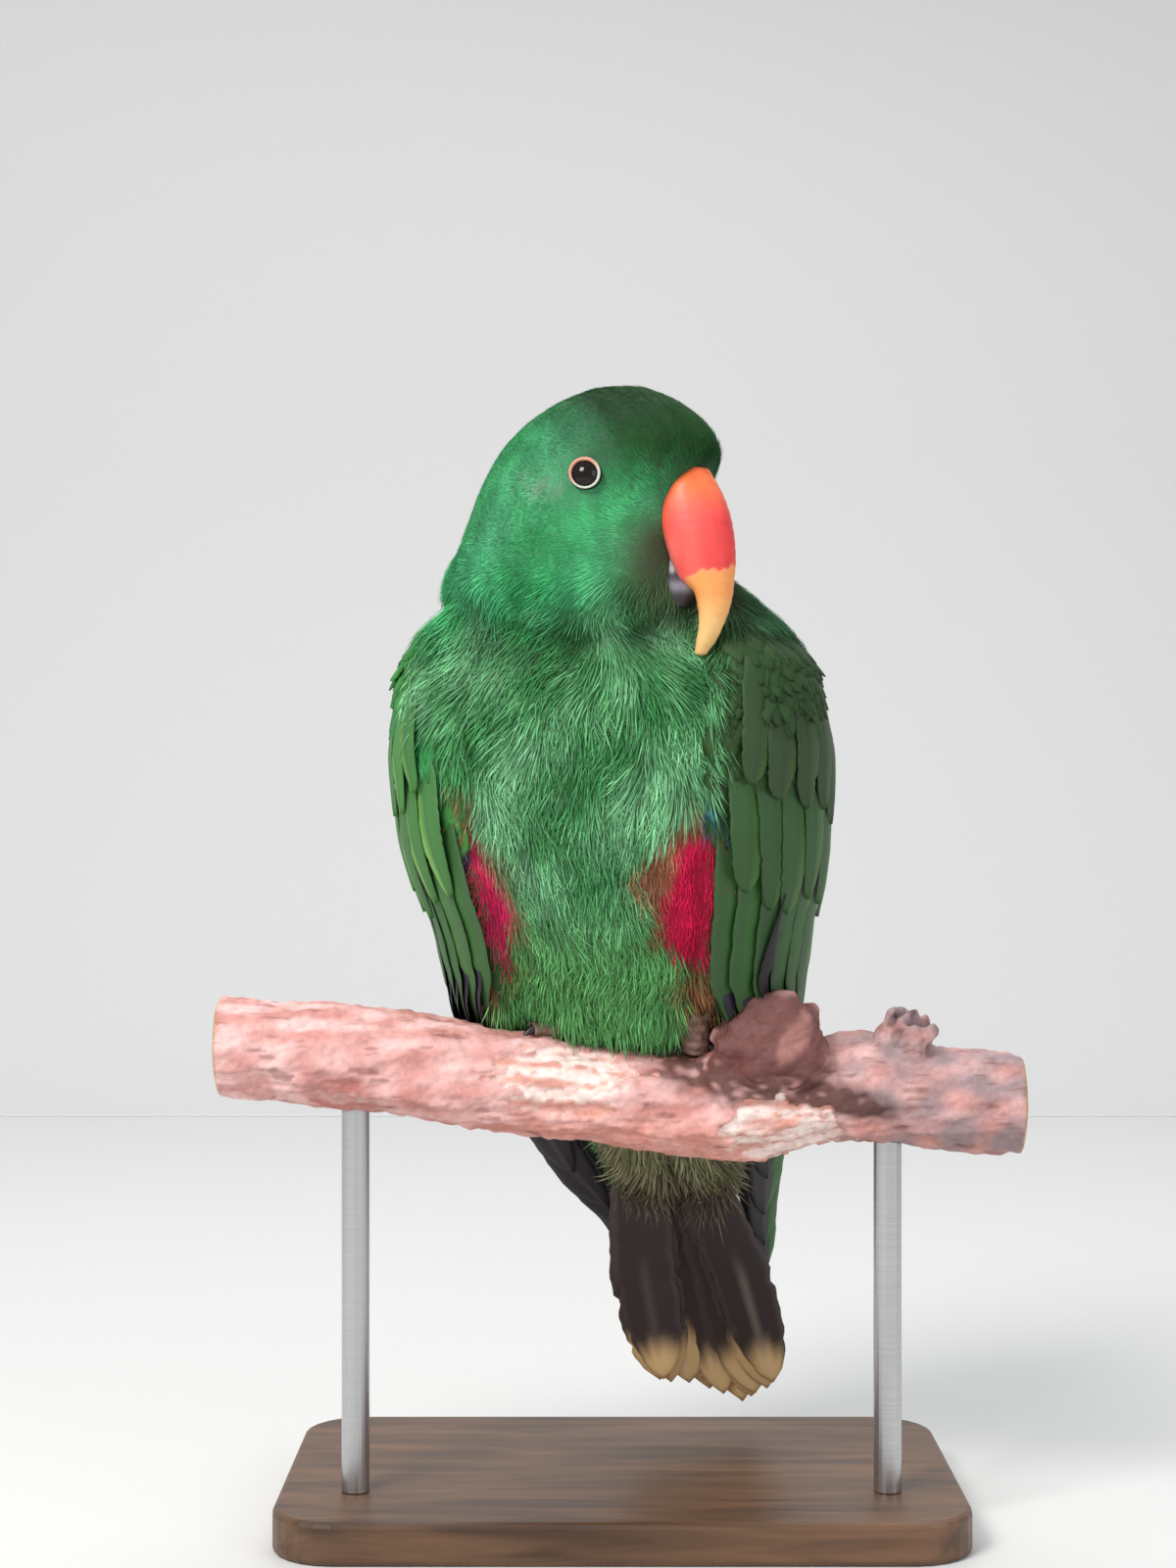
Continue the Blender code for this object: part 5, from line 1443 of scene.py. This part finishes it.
def make_setting():
    """Pale floor and wall, soft light from above and the left, and the photograph's view."""
    pale, _, _, shader = new_finish("pale floor", 0.9)
    shader.inputs["Base Color"].default_value = (0.72, 0.72, 0.71, 1.0)
    sweep = []
    for y, z in [(-5.0, 0.0), (0.9, 0.0)] + [(0.9 + 0.5 * math.sin(a), 0.5 - 0.5 * math.cos(a))
                                            for a in np.linspace(0, math.pi / 2, 60)] + [(1.4, 2.6)]:
        sweep += [(-5000.0, y * 1000, z * 1000), (5000.0, y * 1000, z * 1000)]
    rows = len(sweep) // 2
    mesh = mesh_of("floor", np.array(sweep), grid_faces(rows, 2)[:, ::-1])
    floor = object_of("floor", mesh, pale)
    world = bpy.data.worlds.new("studio")
    bpy.context.scene.world = world
    world.use_nodes = True
    world.node_tree.nodes["Background"].inputs["Color"].default_value = (0.93, 0.96, 1.0, 1.0)
    world.node_tree.nodes["Background"].inputs["Strength"].default_value = 0.55
    for name, place, size, power, colour in (
            ("key", (-0.75, -0.95, 1.25), 0.6, 23.0, (1.0, 0.98, 0.95)),
            ("fill", (1.1, -0.9, 0.6), 0.9, 4.0, (0.95, 0.98, 1.0)),
            ("top", (0.1, 0.5, 1.3), 0.8, 6.0, (1.0, 1.0, 1.0))):
        light = bpy.data.lights.new(name, "AREA")
        light.size = size
        light.energy = power
        light.color = colour
        lamp = bpy.data.objects.new(name, light)
        bpy.context.scene.collection.objects.link(lamp)
        lamp.location = place
        lamp.rotation_euler = (Vector((0.0, 0.0, 0.2)) - Vector(place)).to_track_quat("-Z", "Y").to_euler()
    lens = bpy.data.cameras.new("view")
    lens.sensor_fit = "HORIZONTAL"
    lens.sensor_width = 36.0
    lens.lens = 36.0 * 720.0 / 336.0
    lens.clip_start = 0.01
    camera = bpy.data.objects.new("view", lens)
    bpy.context.scene.collection.objects.link(camera)
    camera.location = (-0.0056, -0.720, 0.214)
    camera.rotation_euler = (math.radians(90.0), 0.0, 0.0)
    bpy.context.scene.camera = camera
    bpy.context.scene.view_settings.view_transform = "Standard"


make_setting()
COAT_TREE = coat_tree()
VELVET = feather_finish("head feather", 0.7, 0.12, 0.82, 1.16)
DOWN = feather_finish("soft feather", 0.62, 0.2, 0.5, 1.45)
SCALE = feather_finish("wing covert", 0.55, 0.2, 0.72, 1.1)
QUILL = quill_finish()

skin, points, normals, azimuth, side, share, wing = make_skin()
height = points[:, 2]
local = (azimuth - BODY_YAW + 180.0) % 360.0 - 180.0
eyes = np.min([np.linalg.norm(points - eye_place(s)[0], axis=1) for s in (-1, 1)], axis=0)
bill = np.linalg.norm(points - on_head(30.0, 0.0, 276.0), axis=1)
forward = ((points[:, 0] - HEAD_CENTRE[0]) * math.sin(math.radians(HEAD_YAW))
           - (points[:, 1] - HEAD_CENTRE[1]) * math.cos(math.radians(HEAD_YAW)))
left = ((points[:, 0] - HEAD_CENTRE[0]) * math.cos(math.radians(HEAD_YAW))
        + (points[:, 1] - HEAD_CENTRE[1]) * math.sin(math.radians(HEAD_YAW)))
under_bill = (forward > 18.0) & (np.abs(left) < 6.0) & (height > 264.0) & (height < 298.0)
open_skin = (eyes > 4.3) & ~under_bill
face_size = np.clip(0.5 + 0.5 * step(np.minimum(eyes - 3.0, bill - 12.0), 0.0, 14.0), 0.4, 1.0)
head_size = face_size * (1.0 + 0.7 * step(-height, -276.0, -262.0))
head_size *= 1.0 + 0.3 * bump(azimuth, -110.0, 40.0) * bump(height, 268.0, 10.0)

fine_tufts = [tuft(f"fine {i}", 50 + i, 5, 0.30, 0.065, 1) for i in range(5)]
long_tufts = [tuft(f"long {i}", 60 + i, 5, 0.26, 0.026, 3) for i in range(5)]
scales = [scale_feather(f"scale {i}", 70 + i, 0.74) for i in range(4)]
edge = height + 3.0 * waves(points, 9.0, 15) + 2.5 * waves(points, 22.0, 16) - 0.5 * (crease_height(azimuth) - 254.0)
head = step(edge, 259.0, 265.0)
for name, part in (("coat_head_right", left < 0), ("coat_head_left", left >= 0)):
    make_coat(name, skin, head * part * open_skin * (wing < 0.5), head_size, fine_tufts, VELVET,
              Spacing=0.00078, Length=0.0050, Width=0.0050, Lift=0.07, Stray=0.13, Seed=1)
hidden = (share > 0.14) & (share < 0.93) & (height < 214.0)
body = step(-edge, -272.0, -264.0) * (wing < 0.75) * step(height, 128.0, 131.0) * ~hidden
body_size = np.interp(height, [128, 150, 180, 240, 258, 272], [1.1, 1.1, 0.95, 1.05, 0.9, 0.5])
body_size *= 1.0 - 0.35 * np.clip(sum(flanks(points, wing)), 0, 1)
front = np.abs(local) < 80
for name, part, seed in (("coat_breast", front & (height >= 205), 2), ("coat_belly", front & (height < 205), 3),
                         ("coat_back_right", ~front & (local < 0), 4), ("coat_back_left", ~front & (local >= 0), 7)):
    make_coat(name, skin, body * part, body_size, long_tufts, DOWN,
              Spacing=0.00138, Length=0.0140, Width=0.0145, Lift=0.07, Stray=0.10, Seed=seed)
root = (height < 128.5) * (wing < 0.5)
aside = points[:, 0] - rows_at(TAIL_LINE, height)[:, 1]
lobes = 0.5 + 0.70 * bump(aside, -7.0, 6.0) + 0.75 * bump(aside, 11.0, 7.0)
make_coat("tail_fluff", skin, root, lobes, long_tufts, DOWN,
          Spacing=0.0013, Length=0.0165, Width=0.0260, Lift=0.08, Stray=0.12, Seed=9)
for name, part, seed in (("wing_right_coverts", side < 0, 5), ("wing_left_coverts", side > 0, 6)):
    make_coat(name, skin, (wing > 0.65) * part * step(height, 196.0, 204.0), np.ones(len(points)), scales, SCALE,
              Spacing=0.0023, Length=0.0125, Width=0.0098, Lift=0.045, Stray=0.07, Seed=seed)
skin_piece = object_of("skin", skin, skin_finish())
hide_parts("torso", "neck", "head", "thigh_left", "thigh_right")
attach(skin_piece, "root")
for piece in fine_tufts + long_tufts + scales:
    bpy.data.objects.remove(piece)

make_wing(-1)
make_wing(1)
make_tail()
make_tail_coverts()
make_bill()
make_eyes()
make_feet()
make_perch()
finish_stand()
